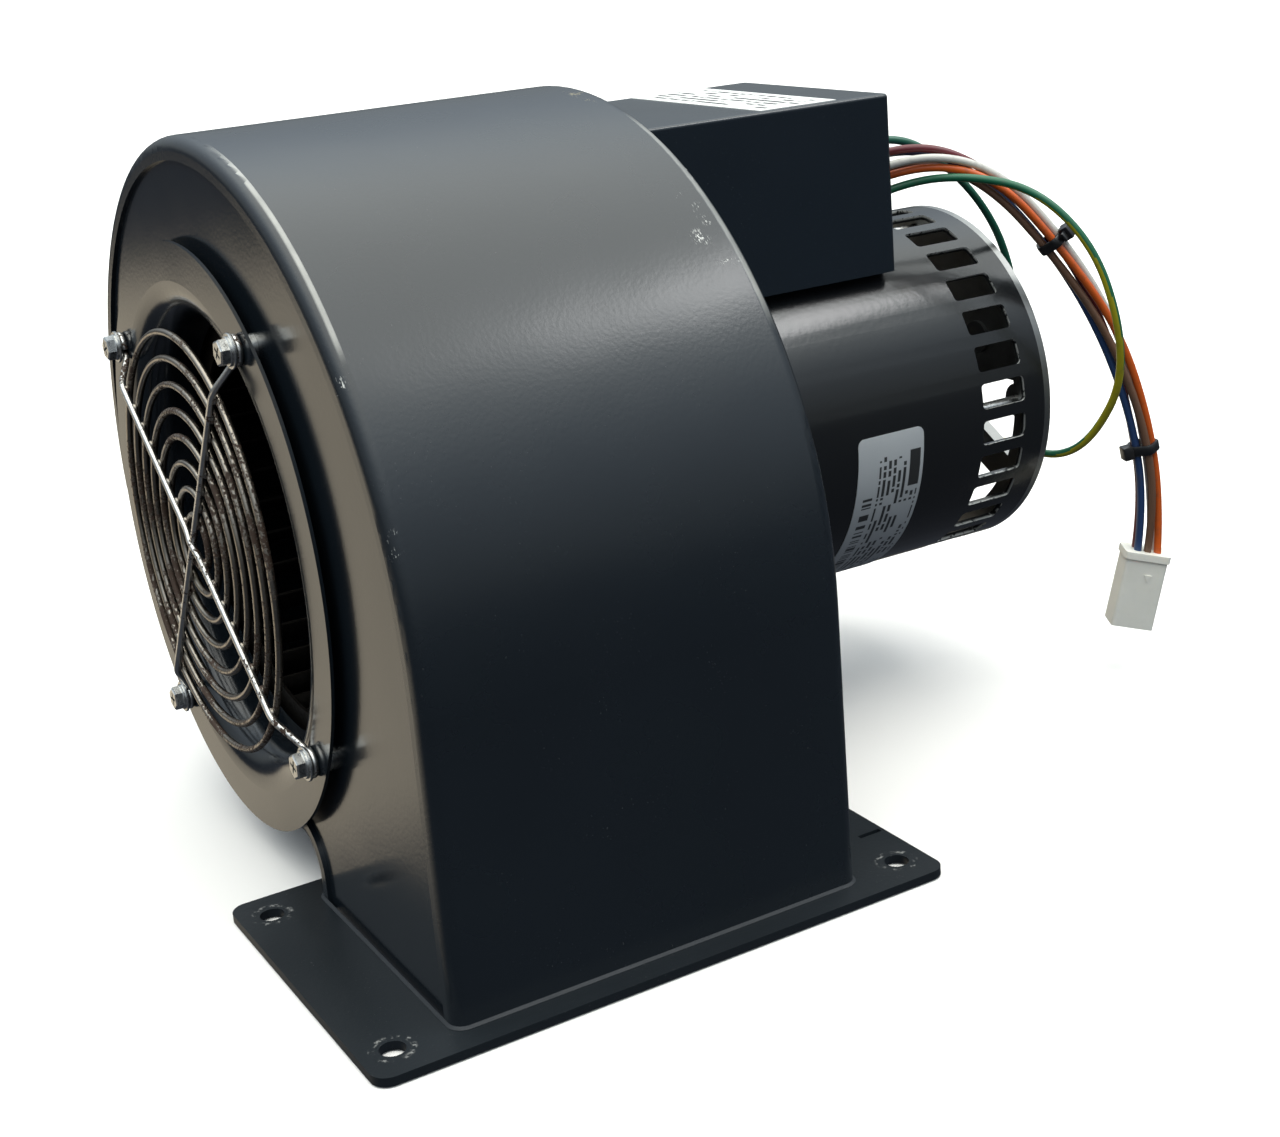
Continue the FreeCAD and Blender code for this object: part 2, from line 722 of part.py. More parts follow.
def rear_end_bell():
    face = rear - bell_recess
    inner = face - bell_floor
    boss = bearing_outer + bearing_wall
    bell = drum(motor_radius, rear - bell_flange, rear, shell_inner - bell_wall)
    bell = bell.fuse(drum(shell_inner, inner - bell_lip, rear - bell_flange / 2, shell_inner - bell_wall))
    bell = bell.fuse(drum(shell_inner, inner, face))
    bell = bell.fuse(drum(boss, rear_bearing_y - bearing_lip, face))
    seat_end = rear_bearing_y + bearing_width + spring_washer
    bell = bell.cut(drum(bearing_outer, rear_bearing_y - 2 * bearing_lip, seat_end))
    bell = bell.cut(bell_windows(inner - PAST, face + PAST))
    for k in range(4):
        start = around(bolt_circle, 90 * k, inner - PAST)
        bell = bell.cut(pin(start, V(0, 1, 0), through_bolt / 2 + CLOSE, bell_floor + 2 * PAST))
    for place, radius in ((lead_bush_place(inner), lead_bush_radius), (earth_place(inner), earth_thread / 2)):
        bell = bell.cut(pin(place - V(0, PAST, 0), V(0, 1, 0), radius, bell_floor + 2 * PAST))
    return bell


def lead_bush_place(y):
    return around(lead_bush_circle, lead_bush_angle, y)


def earth_place(y):
    return around(earth_screw_circle, earth_screw_angle, y)


def motor_lead_bush():
    """Rubber bush in the rear end bell for the lead that comes back from the box."""
    face = rear - bell_recess
    inner = face - bell_floor
    place = lead_bush_place(inner - lead_bush_lip)
    bush = pin(place, V(0, 1, 0), lead_bush_radius, bell_floor + 2 * lead_bush_lip)
    for y in (inner - lead_bush_lip, face):
        start = V(place.x, y, place.z)
        bush = bush.fuse(pin(start, V(0, 1, 0), lead_bush_radius + lead_bush_lip, lead_bush_lip))
    return bush


def stator_core():
    core = drum(shell_inner, stack_y0, stack_y1, stator_bore)
    y0, y1 = stack_y0 - PAST, stack_y1 + PAST
    half, mouth = slot_width / 2, slot_mouth / 2
    lip = az + stator_bore + slot_lip
    slot = block(ax - half, ax + half, y0, y1, lip, az + slot_bottom_radius)
    slot = slot.fuse(block(ax - mouth, ax + mouth, y0, y1, az + stator_bore - PAST, lip + PAST))
    bolts = [pin(around(bolt_circle, 90 * k, y0), V(0, 1, 0), through_bolt / 2 + CLOSE, y1 - y0)
             for k in range(4)]
    return core.cut(group(repeated(slot, slot_count))).cut(group(bolts))


def stator_windings():
    """Slot bars and rounded end turns, as one varnished coil."""
    inner, outer = stator_bore + slot_lip + PAST, slot_bottom_radius - CLOSE
    half = slot_width / 2 - winding_gap
    bar = block(ax - half, ax + half, stack_y0 - winding_reach, stack_y1 + winding_reach,
                az + inner + PAST, az + outer)
    ends = []
    for y0, outward in ((stack_y0, -1), (stack_y1, 1)):
        y1 = y0 + outward * winding_overhang
        ring = drum(outer + winding_skirt, min(y0, y1), max(y0, y1), inner)
        crown = [e for e in ring.Edges
                 if abs(e.Vertexes[0].Y - y1) < 0.01 and abs(e.Vertexes[-1].Y - y1) < 0.01]
        ends.append(ring.makeFillet(winding_crown, crown))
    return ends[0].multiFuse(repeated(bar, slot_count) + ends[1:])


def cage_bar_pins():
    """The cage's bars, which are also the holes in the rotor core."""
    bar = pin(around(bar_circle, 0, stack_y0), V(0, 1, 0), cage_bar_radius, stack_length)
    return repeated(bar, cage_bars)


def rotor_core():
    core = drum(stator_bore - air_gap, stack_y0 + stack_skin, stack_y1 - stack_skin, shaft_seat_radius)
    return core.cut(group(cage_bar_pins()))


def rotor_cage():
    """Cast end rings, their small fins and the bars that join them."""
    outer = stator_bore - cage_ring_inset
    half = cage_fin_sheet / 2
    solids = cage_bar_pins()
    for y, outward in ((stack_y0, -1), (stack_y1, 1)):
        root, ring_end = y - outward * cage_joint, y + outward * cage_ring_depth
        solids.append(drum(outer, min(root, ring_end), max(root, ring_end), cage_ring_inner))
        ends = (ring_end - outward * cage_joint, ring_end + outward * cage_fin_length)
        fin = block(ax - half, ax + half, min(ends), max(ends), az + cage_fin_inner, az + cage_fin_outer)
        solids += repeated(fin, cage_fins)
    return solids[0].multiFuse(solids[1:])


def motor_shaft():
    shoulder = drum(shaft_seat_radius, stack_y0 - shaft_shoulder, stack_y1 + shaft_shoulder)
    shaft = drum(shaft_radius, shaft_start, shaft_end).fuse(shoulder)
    for y in clip_grooves:
        shaft = shaft.cut(drum(shaft_radius + PAST, y, y + clip_groove, shaft_radius - clip_depth))
    ends = [e for e in shaft.Edges if len(e.Vertexes) == 1 and (abs(e.Vertexes[0].Y - shaft_start) < 0.01
                                                               or abs(e.Vertexes[0].Y - shaft_end) < 0.01)]
    return shaft.makeChamfer(shaft_chamfer, ends)


def shaft_clips():
    """Spring rings in the shaft's grooves, in front of each bearing."""
    clips = []
    for groove in clip_grooves:
        y = groove + (clip_groove - clip_sheet) / 2
        clip = drum(shaft_radius + clip_stand, y, y + clip_sheet, shaft_radius - clip_depth)
        half, reach = clip_gap / 2, shaft_radius + clip_stand + PAST
        clips.append(clip.cut(block(ax - half, ax + half, y - PAST, y + clip_sheet + PAST, az, az + reach)))
    return group(clips)


def bearing(y0):
    """Outer ring and balls of a deep-groove bearing, one solid each."""
    middle = y0 + bearing_width / 2
    groove = Part.makeTorus(ball_circle, ball_radius + RUNNING, V(ax, middle, az), V(0, 1, 0))
    ring = drum(bearing_outer, y0, y0 + bearing_width, ball_circle + race_half).cut(groove)
    return group([ring] + repeated(Part.makeSphere(ball_radius, around(ball_circle, 0, middle)), ball_count))


def front_bearing():
    return bearing(front_bearing_y)


def rear_bearing():
    return bearing(rear_bearing_y)


def bearing_inner_rings():
    rings = []
    for y0 in (front_bearing_y, rear_bearing_y):
        middle = V(ax, y0 + bearing_width / 2, az)
        groove = Part.makeTorus(ball_circle, ball_radius + CLOSE, middle, V(0, 1, 0))
        rings.append(drum(ball_circle - race_half, y0, y0 + bearing_width, shaft_radius).cut(groove))
    return group(rings)


def preload_spring():
    """Thin spring washer that presses on the rear bearing's outer ring."""
    y = rear_bearing_y + bearing_width
    outer = bearing_outer - screw_root
    return drum(outer, y, y + spring_washer, outer - spring_width)


def through_bolts():
    """Long bolts that clamp the two end bells on the stator."""
    face = rear - bell_recess
    bolts = []
    for k in range(4):
        start = around(bolt_circle, 90 * k, back + bolt_end)
        rod = pin(start, V(0, 1, 0), through_bolt / 2, face - start.y + PAST)
        head = hexagon(V(start.x, face, start.z), V(0, 1, 0), bolt_head, bolt_head_height)
        bolts.append(rod.fuse(head))
    return group(bolts)


def cooling_fan():
    """Small radial fan between the rotor and the rear bearing."""
    y0 = stack_y1 + fan_gap
    half = fan_blade_sheet / 2
    plate = drum(fan_radius, y0 + fan_sheet / 2, y0 + fan_sheet * 1.5, fan_hub - PAST)
    blade = block(ax - half, ax + half, y0 + fan_sheet, y0 + fan_length - fan_hub / 3, az + fan_hub - PAST,
                  az + fan_radius)
    return drum(fan_hub, y0, y0 + fan_length, shaft_radius).multiFuse([plate] + repeated(blade, fan_blades))


def motor_gasket():
    gasket = drum(motor_radius - gasket_inset, back - gasket_sheet, back, gasket_bore)
    for place in motor_screw_places(back - gasket_sheet - PAST):
        gasket = gasket.cut(pin(place, V(0, 1, 0), mount_screw / 2 + CLOSE, gasket_sheet + 2 * PAST))
    return gasket


def motor_screws():
    """Screws from inside the scroll through the side plate into the front end bell."""
    y = back - sheet - side_sheet
    solids = []
    for place in motor_screw_places(y):
        head = hexagon(place, V(0, -1, 0), mount_screw_head, mount_screw_head_height)
        body = pin(place - V(0, screw_root, 0), V(0, 1, 0), mount_screw / 2, mount_screw_length)
        solids.append(head.fuse(body))
    return group(solids)


def motor_nameplate():
    r0, r1 = motor_radius, motor_radius + label_plate_sheet
    y0 = back + label_plate_start
    y1 = y0 + label_plate_length
    plate = spun([(r0, y0), (r1, y0), (r1, y1), (r0, y1)], label_plate_sweep, label_plate_turn)
    short = [e for e in plate.Edges if e.Length < label_plate_sheet * 1.5]
    return plate.makeFillet(label_plate_corner, short)


# ---------------------------------------------------------------- control box
box_x0, box_x1 = ax - box_width / 2, ax + box_width / 2
box_y0, box_y1 = back, back + box_length
lid_seam = box_top - lid_edge


def motor_saddle(gap):
    return drum(motor_radius + gap, box_y0 - 5, box_y1 + 5)


def control_box():
    outer = rounded_block(box_x0, box_x1, box_y0, box_y1, box_bottom, lid_seam, box_corner)
    t = box_sheet
    inner = rounded_block(box_x0 + t, box_x1 - t, box_y0 + t, box_y1 - t, box_bottom + t, lid_seam + PAST,
                          box_corner - t)
    inner = inner.cut(motor_saddle(box_saddle_gap + t))
    box = outer.cut(motor_saddle(box_saddle_gap)).cut(inner)
    for place in box_screw_places(box_y0 - PAST):
        box = box.cut(pin(place, V(0, 1, 0), box_screw / 2 + CLOSE, t + 2 * PAST))
    for place in lid_screw_places():
        box = box.cut(pin(place + V(0, PAST, 0), V(0, -1, 0), lid_screw / 2 + CLOSE, t + 2 * PAST))
    return box.cut(pin(grommet_place() + V(0, PAST, 0), V(0, -1, 0), grommet_radius, t + 2 * PAST))


def grommet_place():
    return V(ax + grommet_x, box_y1, box_top - grommet_drop)


def lid_screw_places():
    half = lid_screw_spacing / 2
    return [V(ax + side * half, box_y1, lid_seam - lid_screw_drop) for side in (-1, 1)]


def control_box_lid():
    lid = rounded_block(box_x0, box_x1, box_y0, box_y1, lid_seam, box_top, box_corner)
    rim = [e for e in lid.Edges if min(v.Z for v in e.Vertexes) > box_top - 0.01]
    lid = lid.makeFillet(lid_edge * 0.7, rim)
    a = box_sheet + lid_gap
    b = a + box_sheet
    bottom = lid_seam - lid_skirt
    skirt = rounded_block(box_x0 + a, box_x1 - a, box_y0 + a, box_y1 - a, bottom, lid_seam, box_corner - a)
    core = block(box_x0 + b, box_x1 - b, box_y0 + b, box_y1 - b, bottom - PAST, box_top - box_sheet)
    lid = lid.fuse(skirt).cut(core)
    for place in lid_screw_places():
        lid = lid.cut(pin(place + V(0, PAST, 0), V(0, -1, 0), lid_screw / 2, lid_screw_length))
    return lid


def lid_screws():
    return group([slotted_screw(place, lid_screw_head, lid_screw_head_height, lid_screw, lid_screw_length)
                  for place in lid_screw_places()])


def box_label():
    y0 = box_y0 + box_label_start
    return block(box_x0 + box_label_inset, box_x1 - box_label_inset, y0, y0 + box_label_length,
                 box_top, box_top + box_label_sheet)


def box_gasket():
    low, high = box_bottom + gasket_margin, box_top - gasket_margin
    pad = block(box_x0 + gasket_margin, box_x1 - gasket_margin, back - gasket_sheet, back, low, high)
    pad = pad.cut(motor_saddle(box_saddle_gap))
    for place in box_screw_places(back - gasket_sheet - PAST):
        pad = pad.cut(pin(place, V(0, 1, 0), box_screw / 2 + CLOSE, gasket_sheet + 2 * PAST))
    return pad


def box_screws():
    return group([slotted_screw(place, box_screw_head, box_screw_head_height, box_screw, box_screw_length)
                  for place in box_screw_places(back + box_sheet)])


def wire_grommet():
    """Rubber bush in the back of the box, where all the wires come out."""
    place = grommet_place()
    lip = grommet_radius + grommet_lip
    bush = pin(place - V(0, box_sheet, 0), V(0, 1, 0), grommet_radius, box_sheet)
    bush = bush.fuse(pin(place, V(0, 1, 0), lip, grommet_lip))
    return bush.fuse(pin(place - V(0, box_sheet, 0), V(0, -1, 0), lip, grommet_lip))


def run_capacitor():
    """Lying across the box above the motor, with two terminals."""
    y, z = box_y0 + capacitor_back, box_top - capacitor_drop
    end = ax + capacitor_length / 2
    can = pin(V(end, y, z), V(-1, 0, 0), capacitor_radius, capacitor_length)
    can = can.makeFillet(capacitor_edge, [e for e in can.Edges if len(e.Vertexes) == 1])
    tabs = [block(end - PAST, end + tab_length - PAST, y + s - tab_width / 2, y + s + tab_width / 2,
                  z - tab_sheet / 2, z + tab_sheet / 2) for s in (-tab_spacing / 2, tab_spacing / 2)]
    return can.multiFuse(tabs)


def capacitor_strap():
    """Band over the capacitor, screwed to the front wall of the box."""
    y, z = box_y0 + capacitor_back, box_top - capacitor_drop
    half = strap_width / 2
    band = pin(V(ax - half, y, z), V(1, 0, 0), capacitor_radius + strap_sheet, strap_width)
    band = band.cut(pin(V(ax - half - PAST, y, z), V(1, 0, 0), capacitor_radius, strap_width + 2 * PAST))
    return band.fuse(block(ax - half, ax + half, box_y0 + box_sheet, y - capacitor_radius,
                           z - strap_sheet / 2, z + strap_sheet / 2))


def terminal_block():
    """A base with an upright wall between each two terminals and at both ends."""
    length, half = terminal_ways * terminal_pitch, terminal_wall / 2
    x0, y0, z0 = ax - length / 2, box_y0 + terminal_back, box_top - terminal_drop
    base = block(x0, x0 + length, y0, y0 + terminal_depth, z0, z0 + terminal_base)
    walls = []
    for k in range(terminal_ways + 1):
        x = x0 + terminal_pitch * k
        walls.append(block(max(x - half, x0), min(x + half, x0 + length), y0, y0 + terminal_depth,
                           z0 + terminal_base - PAST, z0 + terminal_height))
    return base.multiFuse(walls)


# ---------------------------------------------------------------- wiring
# Each route is a list of hand-picked points, from the grommet onwards. The five plug
# leads keep beside each other and turn round the bundle as they go.
ROUTES = {
    "white_wire": [(-76.5, 191, 215.5), (-67, 205.5, 222), (-54.5, 235.5, 213), (-41, 259, 180),
                   (-33.5, 276.5, 146.5), (-30.5, 285.5, 108.5), (-28, 290, 72), (-27.5, 288, 48)],
    "orange_wire": [(-80.5, 191, 210.5), (-70, 207.5, 217.5), (-52.5, 232.5, 210.5), (-39.5, 255, 178.5),
                    (-30, 274, 146), (-26, 285.5, 109), (-23.5, 290, 72), (-23, 287.5, 48)],
    "tan_wire": [(-86.5, 191, 212.5), (-74.5, 210, 219.5), (-55.5, 231.5, 207), (-43, 253.5, 176),
                 (-31.5, 270, 144.5), (-24.5, 281.5, 108), (-22, 286, 72), (-25, 283.5, 48)],
    "blue_wire": [(-86.5, 191, 219), (-74, 210, 225), (-59, 234, 208), (-46.5, 256, 176.5),
                  (-35.5, 270, 143.5), (-28, 279, 107.5), (-25.5, 283, 72), (-27, 280, 48)],
    "maroon_wire": [(-80, 191, 220.5), (-69.5, 207.5, 226.5), (-58.5, 236.5, 211.5), (-45, 259.5, 179),
                    (-37, 274.5, 144.5), (-31.5, 281.5, 107.5), (-29, 285.5, 72), (-30.5, 282, 48)],
    "green_wire": [(-84, 191, 226), (-81, 208, 228), (-75, 226, 214), (-70, 239, 198), (-70.5, 251, 178),
                   (-70.5, 256.5, 154), (-70.2, 242.5, 143)],
    "earth_wire": [(-78, 191, 205.5), (-74, 206, 210), (-55, 220, 212), (-35, 238, 206), (-20, 253, 183),
                   (-14, 260, 152), (-18, 264, 126), (-31, 263, 105), (-43, 260, 94), (-55, 254, 92),
                   (-63, 246.5, 97)],
}
PLUG_TOP = V(-26.8, 284.7, 50.5)          # middle of the plug's wire end
PLUG_AXIS = V(-0.11, -0.2, -0.97)         # from there towards its open end
BUNDLE_SIDE = V(0.866, -0.5, 0)           # square to the upright plane the bundle hangs in
TIES = [(V(-44.9, 253.3, 181.9), V(0.293, 0.507, -0.811)),
        (V(-27.1, 284.1, 94.7), V(0.079, 0.137, -0.987))]


def cord_tube(name, route, diameter):
    """A tube along straight runs joined by tangent arcs as large as the runs allow."""
    points = [V(*p) for p in route]
    runs = [(q - p) for p, q in zip(points, points[1:])]
    edges, radii, start = [], [], points[0]
    for before, corner, after in zip(runs, points[1:], runs[1:]):
        turn = before.getAngle(after)
        shorter = min(before.Length, after.Length)
        reach = 0.45 * shorter
        radii.append(reach / math.tan(turn / 2))
        u, w = V(before).normalize(), V(after).normalize()
        enter, leave = corner - u * reach, corner + w * reach
        inward = (w - u).normalize()
        middle = corner + inward * (radii[-1] / math.cos(turn / 2) - radii[-1])
        edges += [Part.LineSegment(start, enter).toShape(), Part.Arc(enter, middle, leave).toShape()]
        start = leave
    edges.append(Part.LineSegment(start, points[-1]).toShape())
    path = Part.Wire(edges)
    section = Part.Wire(Part.Circle(points[0], V(runs[0]).normalize(), diameter / 2).toShape())
    tube = path.makePipeShell([section], True, True)
    if tube.Volume < 0:
        tube.reverse()
    expected = math.pi * diameter ** 2 / 4 * path.Length
    print(name, "length", round(path.Length, 1), "radii", [round(r, 1) for r in radii],
          "runs", [round(r.Length) for r in runs], "volume/expected", round(tube.Volume / expected, 4))
    return tube


def set_along(shape, place, axis, side):
    """Moves a shape drawn round +Z at the origin so that Z lies along axis and Y along side."""
    z = V(axis).normalize()
    x = side.cross(z).normalize()
    shape.Placement = FreeCAD.Placement(place, FreeCAD.Rotation(x, side, z, "ZXY"))
    return shape


def cable_ties():
    """Two nylon ties round the bundle, each with its square head."""
    ties = []
    for place, axis in TIES:
        outer = tie_bore + tie_band
        band = Part.makeCylinder(outer, tie_width, V(0, 0, -tie_width / 2))
        band = band.cut(Part.makeCylinder(tie_bore, tie_width + 2 * PAST, V(0, 0, -tie_width / 2 - PAST)))
        x, z, y0 = tie_head_width / 2, tie_head_length / 2, tie_bore + tie_band / 3
        head = rounded_block(-x, x, y0, y0 + tie_head_height, -z, z, tie_head_corner)
        x0, y1 = x - tie_head_corner, y0 + tie_tail_sheet
        tail = block(x0, x0 + tie_tail_width, y1, y1 + tie_tail_sheet,
                     CLOSE - tie_width / 2, tie_width / 2 - CLOSE)
        ties.append(set_along(band.multiFuse([head, tail]), place, axis, BUNDLE_SIDE))
    return group(ties)


def pocket_places():
    return [(plug_pitch * (k - 1), row * plug_pitch / 2) for k in range(3) for row in (-1, 1)]


def plug_housing():
    """Six-way plug: a rim at the wire end, a latch on one side and an arrow on the other, pockets below."""
    w, d, length = plug_width / 2, plug_depth / 2, plug_length
    body = rounded_block(-w, w, -d, d, 0, length, plug_corner)
    rim = rounded_block(-w - plug_rim, w + plug_rim, -d - plug_rim, d + plug_rim,
                        0, plug_rim_height, plug_rim_corner)
    half, end = latch_width / 2, length - latch_end
    latch = block(-half, half, -d - latch_height, PAST - d, latch_start, end)
    hook = block(-half, half, -d - latch_height - latch_step, PAST - d, end - latch_hook, end)
    corners = [V(0, d, arrow_start), V(arrow_size, d, arrow_start),
               V(arrow_size / 2, d, arrow_start + arrow_size), V(0, d, arrow_start)]
    arrow = Part.Face(Part.makePolygon(corners)).extrude(V(0, arrow_height, 0))
    plug = body.multiFuse([rim, latch, hook, arrow])
    half = plug_pocket / 2
    for x, y in pocket_places():
        plug = plug.cut(block(x - half, x + half, y - half, y + half,
                              length - plug_pocket_depth, length + PAST))
    return set_along(plug, PLUG_TOP, PLUG_AXIS, BUNDLE_SIDE)


def plug_contacts():
    """Crimped sleeves that stand in five of the pockets."""
    start, height = plug_length - plug_pocket_depth, plug_pocket_depth - contact_short
    sleeves = []
    for x, y in pocket_places()[:5]:
        sleeve = Part.makeCylinder(contact_radius, height, V(x, y, start))
        sleeve = sleeve.cut(Part.makeCylinder(contact_bore, height, V(x, y, start + contact_short)))
        sleeves.append(set_along(sleeve, PLUG_TOP, PLUG_AXIS, BUNDLE_SIDE))
    return group(sleeves)


def earth_terminal():
    """Ring lug under the earth screw, with the barrel that grips the wire."""
    seat = earth_place(rear - bell_recess)
    end = V(*ROUTES["earth_wire"][-1])
    sideways = V(end.x - seat.x, 0, end.z - seat.z).normalize()
    heel = seat + sideways * lug_reach + V(0, lug_lift, 0)
    tongue = block(0, lug_reach, 0, lug_sheet, -lug_width / 2, lug_width / 2)
    tongue.rotate(V(0, 0, 0), V(0, 1, 0), -math.degrees(math.atan2(sideways.z, sideways.x)))
    tongue.translate(seat)
    barrel = pin(end, heel - end, lug_barrel, (heel - end).Length)
    lug = pin(seat, V(0, 1, 0), lug_ring, lug_sheet)
    lug = lug.multiFuse([tongue, barrel, Part.makeSphere(lug_barrel, heel)])
    lug = lug.cut(drum(shell_inner, rear - 2 * bell_recess, seat.y))
    return lug.cut(pin(seat - V(0, PAST, 0), V(0, 1, 0), earth_thread / 2 + CLOSE, lug_sheet + 2 * PAST))


def earth_screw():
    seat = earth_place(rear - bell_recess + lug_sheet)
    return slotted_screw(seat, earth_head, earth_head_height, earth_thread, earth_screw_length)


NODES = {
    "scroll_wrap": scroll_wrap,
    "inlet_side_plate": inlet_side_plate,
    "motor_side_plate": motor_side_plate,
    "base_flange": base_flange,
    "flange_weld": flange_weld,
    "outlet_cutoff": outlet_cutoff,
    "inlet_ring": inlet_ring,
    "inlet_seal": inlet_seal,
    "inlet_spacers": inlet_spacers,
    "finger_guard": finger_guard,
    "guard_screws": guard_screws,
    "guard_nuts": guard_nuts,
    "motor_gasket": motor_gasket,
    "motor_screws": motor_screws,
    "motor_shell": motor_shell,
    "front_end_bell": front_end_bell,
    "rear_end_bell": rear_end_bell,
    "motor_lead_bush": motor_lead_bush,
    "stator_core": stator_core,
    "stator_windings": stator_windings,
    "through_bolts": through_bolts,
    "front_bearing": front_bearing,
    "rear_bearing": rear_bearing,
    "preload_spring": preload_spring,
    "motor_nameplate": motor_nameplate,
    "control_box": control_box,
    "control_box_lid": control_box_lid,
    "lid_screws": lid_screws,
    "box_label": box_label,
    "box_gasket": box_gasket,
    "box_screws": box_screws,
    "wire_grommet": wire_grommet,
    "run_capacitor": run_capacitor,
    "capacitor_strap": capacitor_strap,
    "terminal_block": terminal_block,
    "cable_ties": cable_ties,
    "plug_housing": plug_housing,
    "plug_contacts": plug_contacts,
    "earth_terminal": earth_terminal,
    "earth_screw": earth_screw,
    "motor_shaft": motor_shaft,
    "shaft_clips": shaft_clips,
    "bearing_inner_rings": bearing_inner_rings,
    "rotor_core": rotor_core,
    "rotor_cage": rotor_cage,
    "cooling_fan": cooling_fan,
    "impeller_hub": impeller_hub,
    "hub_set_screw": hub_set_screw,
    "impeller_back_plate": impeller_back_plate,
    "impeller_blades": impeller_blades,
    "impeller_rim": impeller_rim,
}

for wire in ROUTES:
    NODES[wire] = lambda wire=wire: cord_tube(wire, ROUTES[wire], wire_diameter)

os.makedirs("parts", exist_ok=True)
for node, build in NODES.items():
    shape = build()
    if not shape.isValid() or shape.Volume <= 0:
        print("CHECK", node, shape.isValid(), shape.Volume)
    shape.exportStep("parts/" + node + ".step")
    print(node, len(shape.Solids), round(shape.Volume / 1000, 2), "cm3")
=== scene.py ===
"""Looks of the combustion fan: a finish for every part, finer wire work, and the studio."""
import json
import logging
import math
from dataclasses import dataclass, field
from enum import Enum
from typing import Callable, Iterable, Optional, Sequence, Union

import bmesh
import bpy
from mathutils import Matrix, Vector


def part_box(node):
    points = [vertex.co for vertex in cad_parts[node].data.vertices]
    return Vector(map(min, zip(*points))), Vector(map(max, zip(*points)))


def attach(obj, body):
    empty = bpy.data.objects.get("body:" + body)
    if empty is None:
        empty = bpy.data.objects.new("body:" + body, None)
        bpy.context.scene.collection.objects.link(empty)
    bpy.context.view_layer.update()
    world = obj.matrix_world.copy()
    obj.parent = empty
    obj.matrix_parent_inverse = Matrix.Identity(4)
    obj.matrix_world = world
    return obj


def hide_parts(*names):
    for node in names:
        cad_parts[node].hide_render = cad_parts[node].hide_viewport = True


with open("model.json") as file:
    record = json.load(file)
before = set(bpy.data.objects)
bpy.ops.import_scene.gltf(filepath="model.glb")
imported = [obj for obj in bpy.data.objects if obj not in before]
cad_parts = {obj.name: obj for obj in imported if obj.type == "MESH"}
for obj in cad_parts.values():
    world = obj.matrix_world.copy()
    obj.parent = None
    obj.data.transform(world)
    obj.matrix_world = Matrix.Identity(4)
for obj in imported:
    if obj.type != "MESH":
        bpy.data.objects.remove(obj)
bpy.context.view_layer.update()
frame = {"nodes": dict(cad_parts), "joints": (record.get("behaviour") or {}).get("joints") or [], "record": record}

LOG = logging.getLogger("combustion_fan")
MM = 0.001
SHAFT = Vector(frame["joints"][0]["pos_m"])
HOUSING = "housing"

Triple = tuple[float, float, float]
Colour = Triple
Socket = bpy.types.NodeSocket
Value = Union[Socket, float, Sequence[float]]
Spot = tuple[Socket, Socket]
Span = tuple[float, float]
Levels = Sequence[tuple[float, Colour]]
Piece = bpy.types.Object
Mesh = bmesh.types.BMesh


# ---------------------------------------------------------------- finishes
def shade(colour: Colour, share: float) -> Colour:
    """The same colour, darker or lighter."""
    red, green, blue = colour
    return red * share, green * share, blue * share


class Graph:
    """A node tree that is filled one node at a time."""

    def __init__(self, tree: bpy.types.NodeTree) -> None:
        """Works on a tree that is there already."""
        self.tree = tree

    def add(self, kind: str, feeds: Optional[dict] = None, **settings: object) -> bpy.types.Node:
        """Adds one node.

        Args:
            kind: the node's type.
            feeds: values or sockets for its inputs, by input name or number.
            settings: the node's own properties.

        Returns:
            The new node.
        """
        node = self.tree.nodes.new(kind)
        for key, value in settings.items():
            setattr(node, key, value)
        for key, value in (feeds or {}).items():
            self.feed(node.inputs[key], value)
        return node

    def feed(self, socket: Socket, value: Value) -> None:
        """Links or sets one input.

        Args:
            socket: the input.
            value: an output socket to link, or a number, vector or colour to set.
        """
        if isinstance(value, bpy.types.NodeSocket):
            self.tree.links.new(value, socket)
        elif socket.type == "RGBA" and len(value) == 3:
            socket.default_value = (*value, 1.0)
        else:
            socket.default_value = value

    def math(self, operation: str, a: Value, b: Value = 0.0, clamp: bool = False) -> Socket:
        """One arithmetic step on two numbers."""
        return self.add("ShaderNodeMath", {0: a, 1: b}, operation=operation, use_clamp=clamp).outputs[0]

    def product(self, first: Value, *others: Value, clamp: bool = False) -> Socket:
        """All the numbers multiplied together, and if wanted the result held between 0 and 1."""
        for k, value in enumerate(others, 1):
            first = self.math("MULTIPLY", first, value, clamp and k == len(others))
        return first

    def vector(self, operation: str, a: Value, b: Value = (0.0, 0.0, 0.0), out: str = "Vector") -> Socket:
        """One arithmetic step on two vectors."""
        return self.add("ShaderNodeVectorMath", {0: a, 1: b}, operation=operation).outputs[out]

    def split(self, vector: Socket) -> tuple[Socket, Socket, Socket]:
        """The three parts of a vector."""
        out = self.add("ShaderNodeSeparateXYZ", {0: vector}).outputs
        return out[0], out[1], out[2]

    def between(self, value: Socket, low: float, high: float) -> Socket:
        """Rises smoothly from 0 at low to 1 at high."""
        return self.add("ShaderNodeMapRange", {"Value": value, "From Min": low, "From Max": high},
                        interpolation_type="SMOOTHSTEP").outputs[0]

    def mix(self, share: Value, a: Value, b: Value) -> Socket:
        """A colour between a and b."""
        return self.add("ShaderNodeMix", {0: share, 6: a, 7: b}, data_type="RGBA").outputs[2]

    def blend(self, share: Value, a: Value, b: Value) -> Socket:
        """A number between a and b."""
        return self.add("ShaderNodeMix", {0: share, 2: a, 3: b}, data_type="FLOAT").outputs[0]

    def ramp(self, value: Socket, levels: Levels) -> Socket:
        """A colour that goes from one level to the next as the value grows from 0 to 1."""
        node = self.add("ShaderNodeValToRGB", {0: value})
        stops = node.color_ramp.elements
        while len(stops) < len(levels):
            stops.new(0.5)
        for stop, (position, colour) in zip(stops, levels):
            stop.position, stop.color = position, (*colour, 1.0)
        return node.outputs[0]


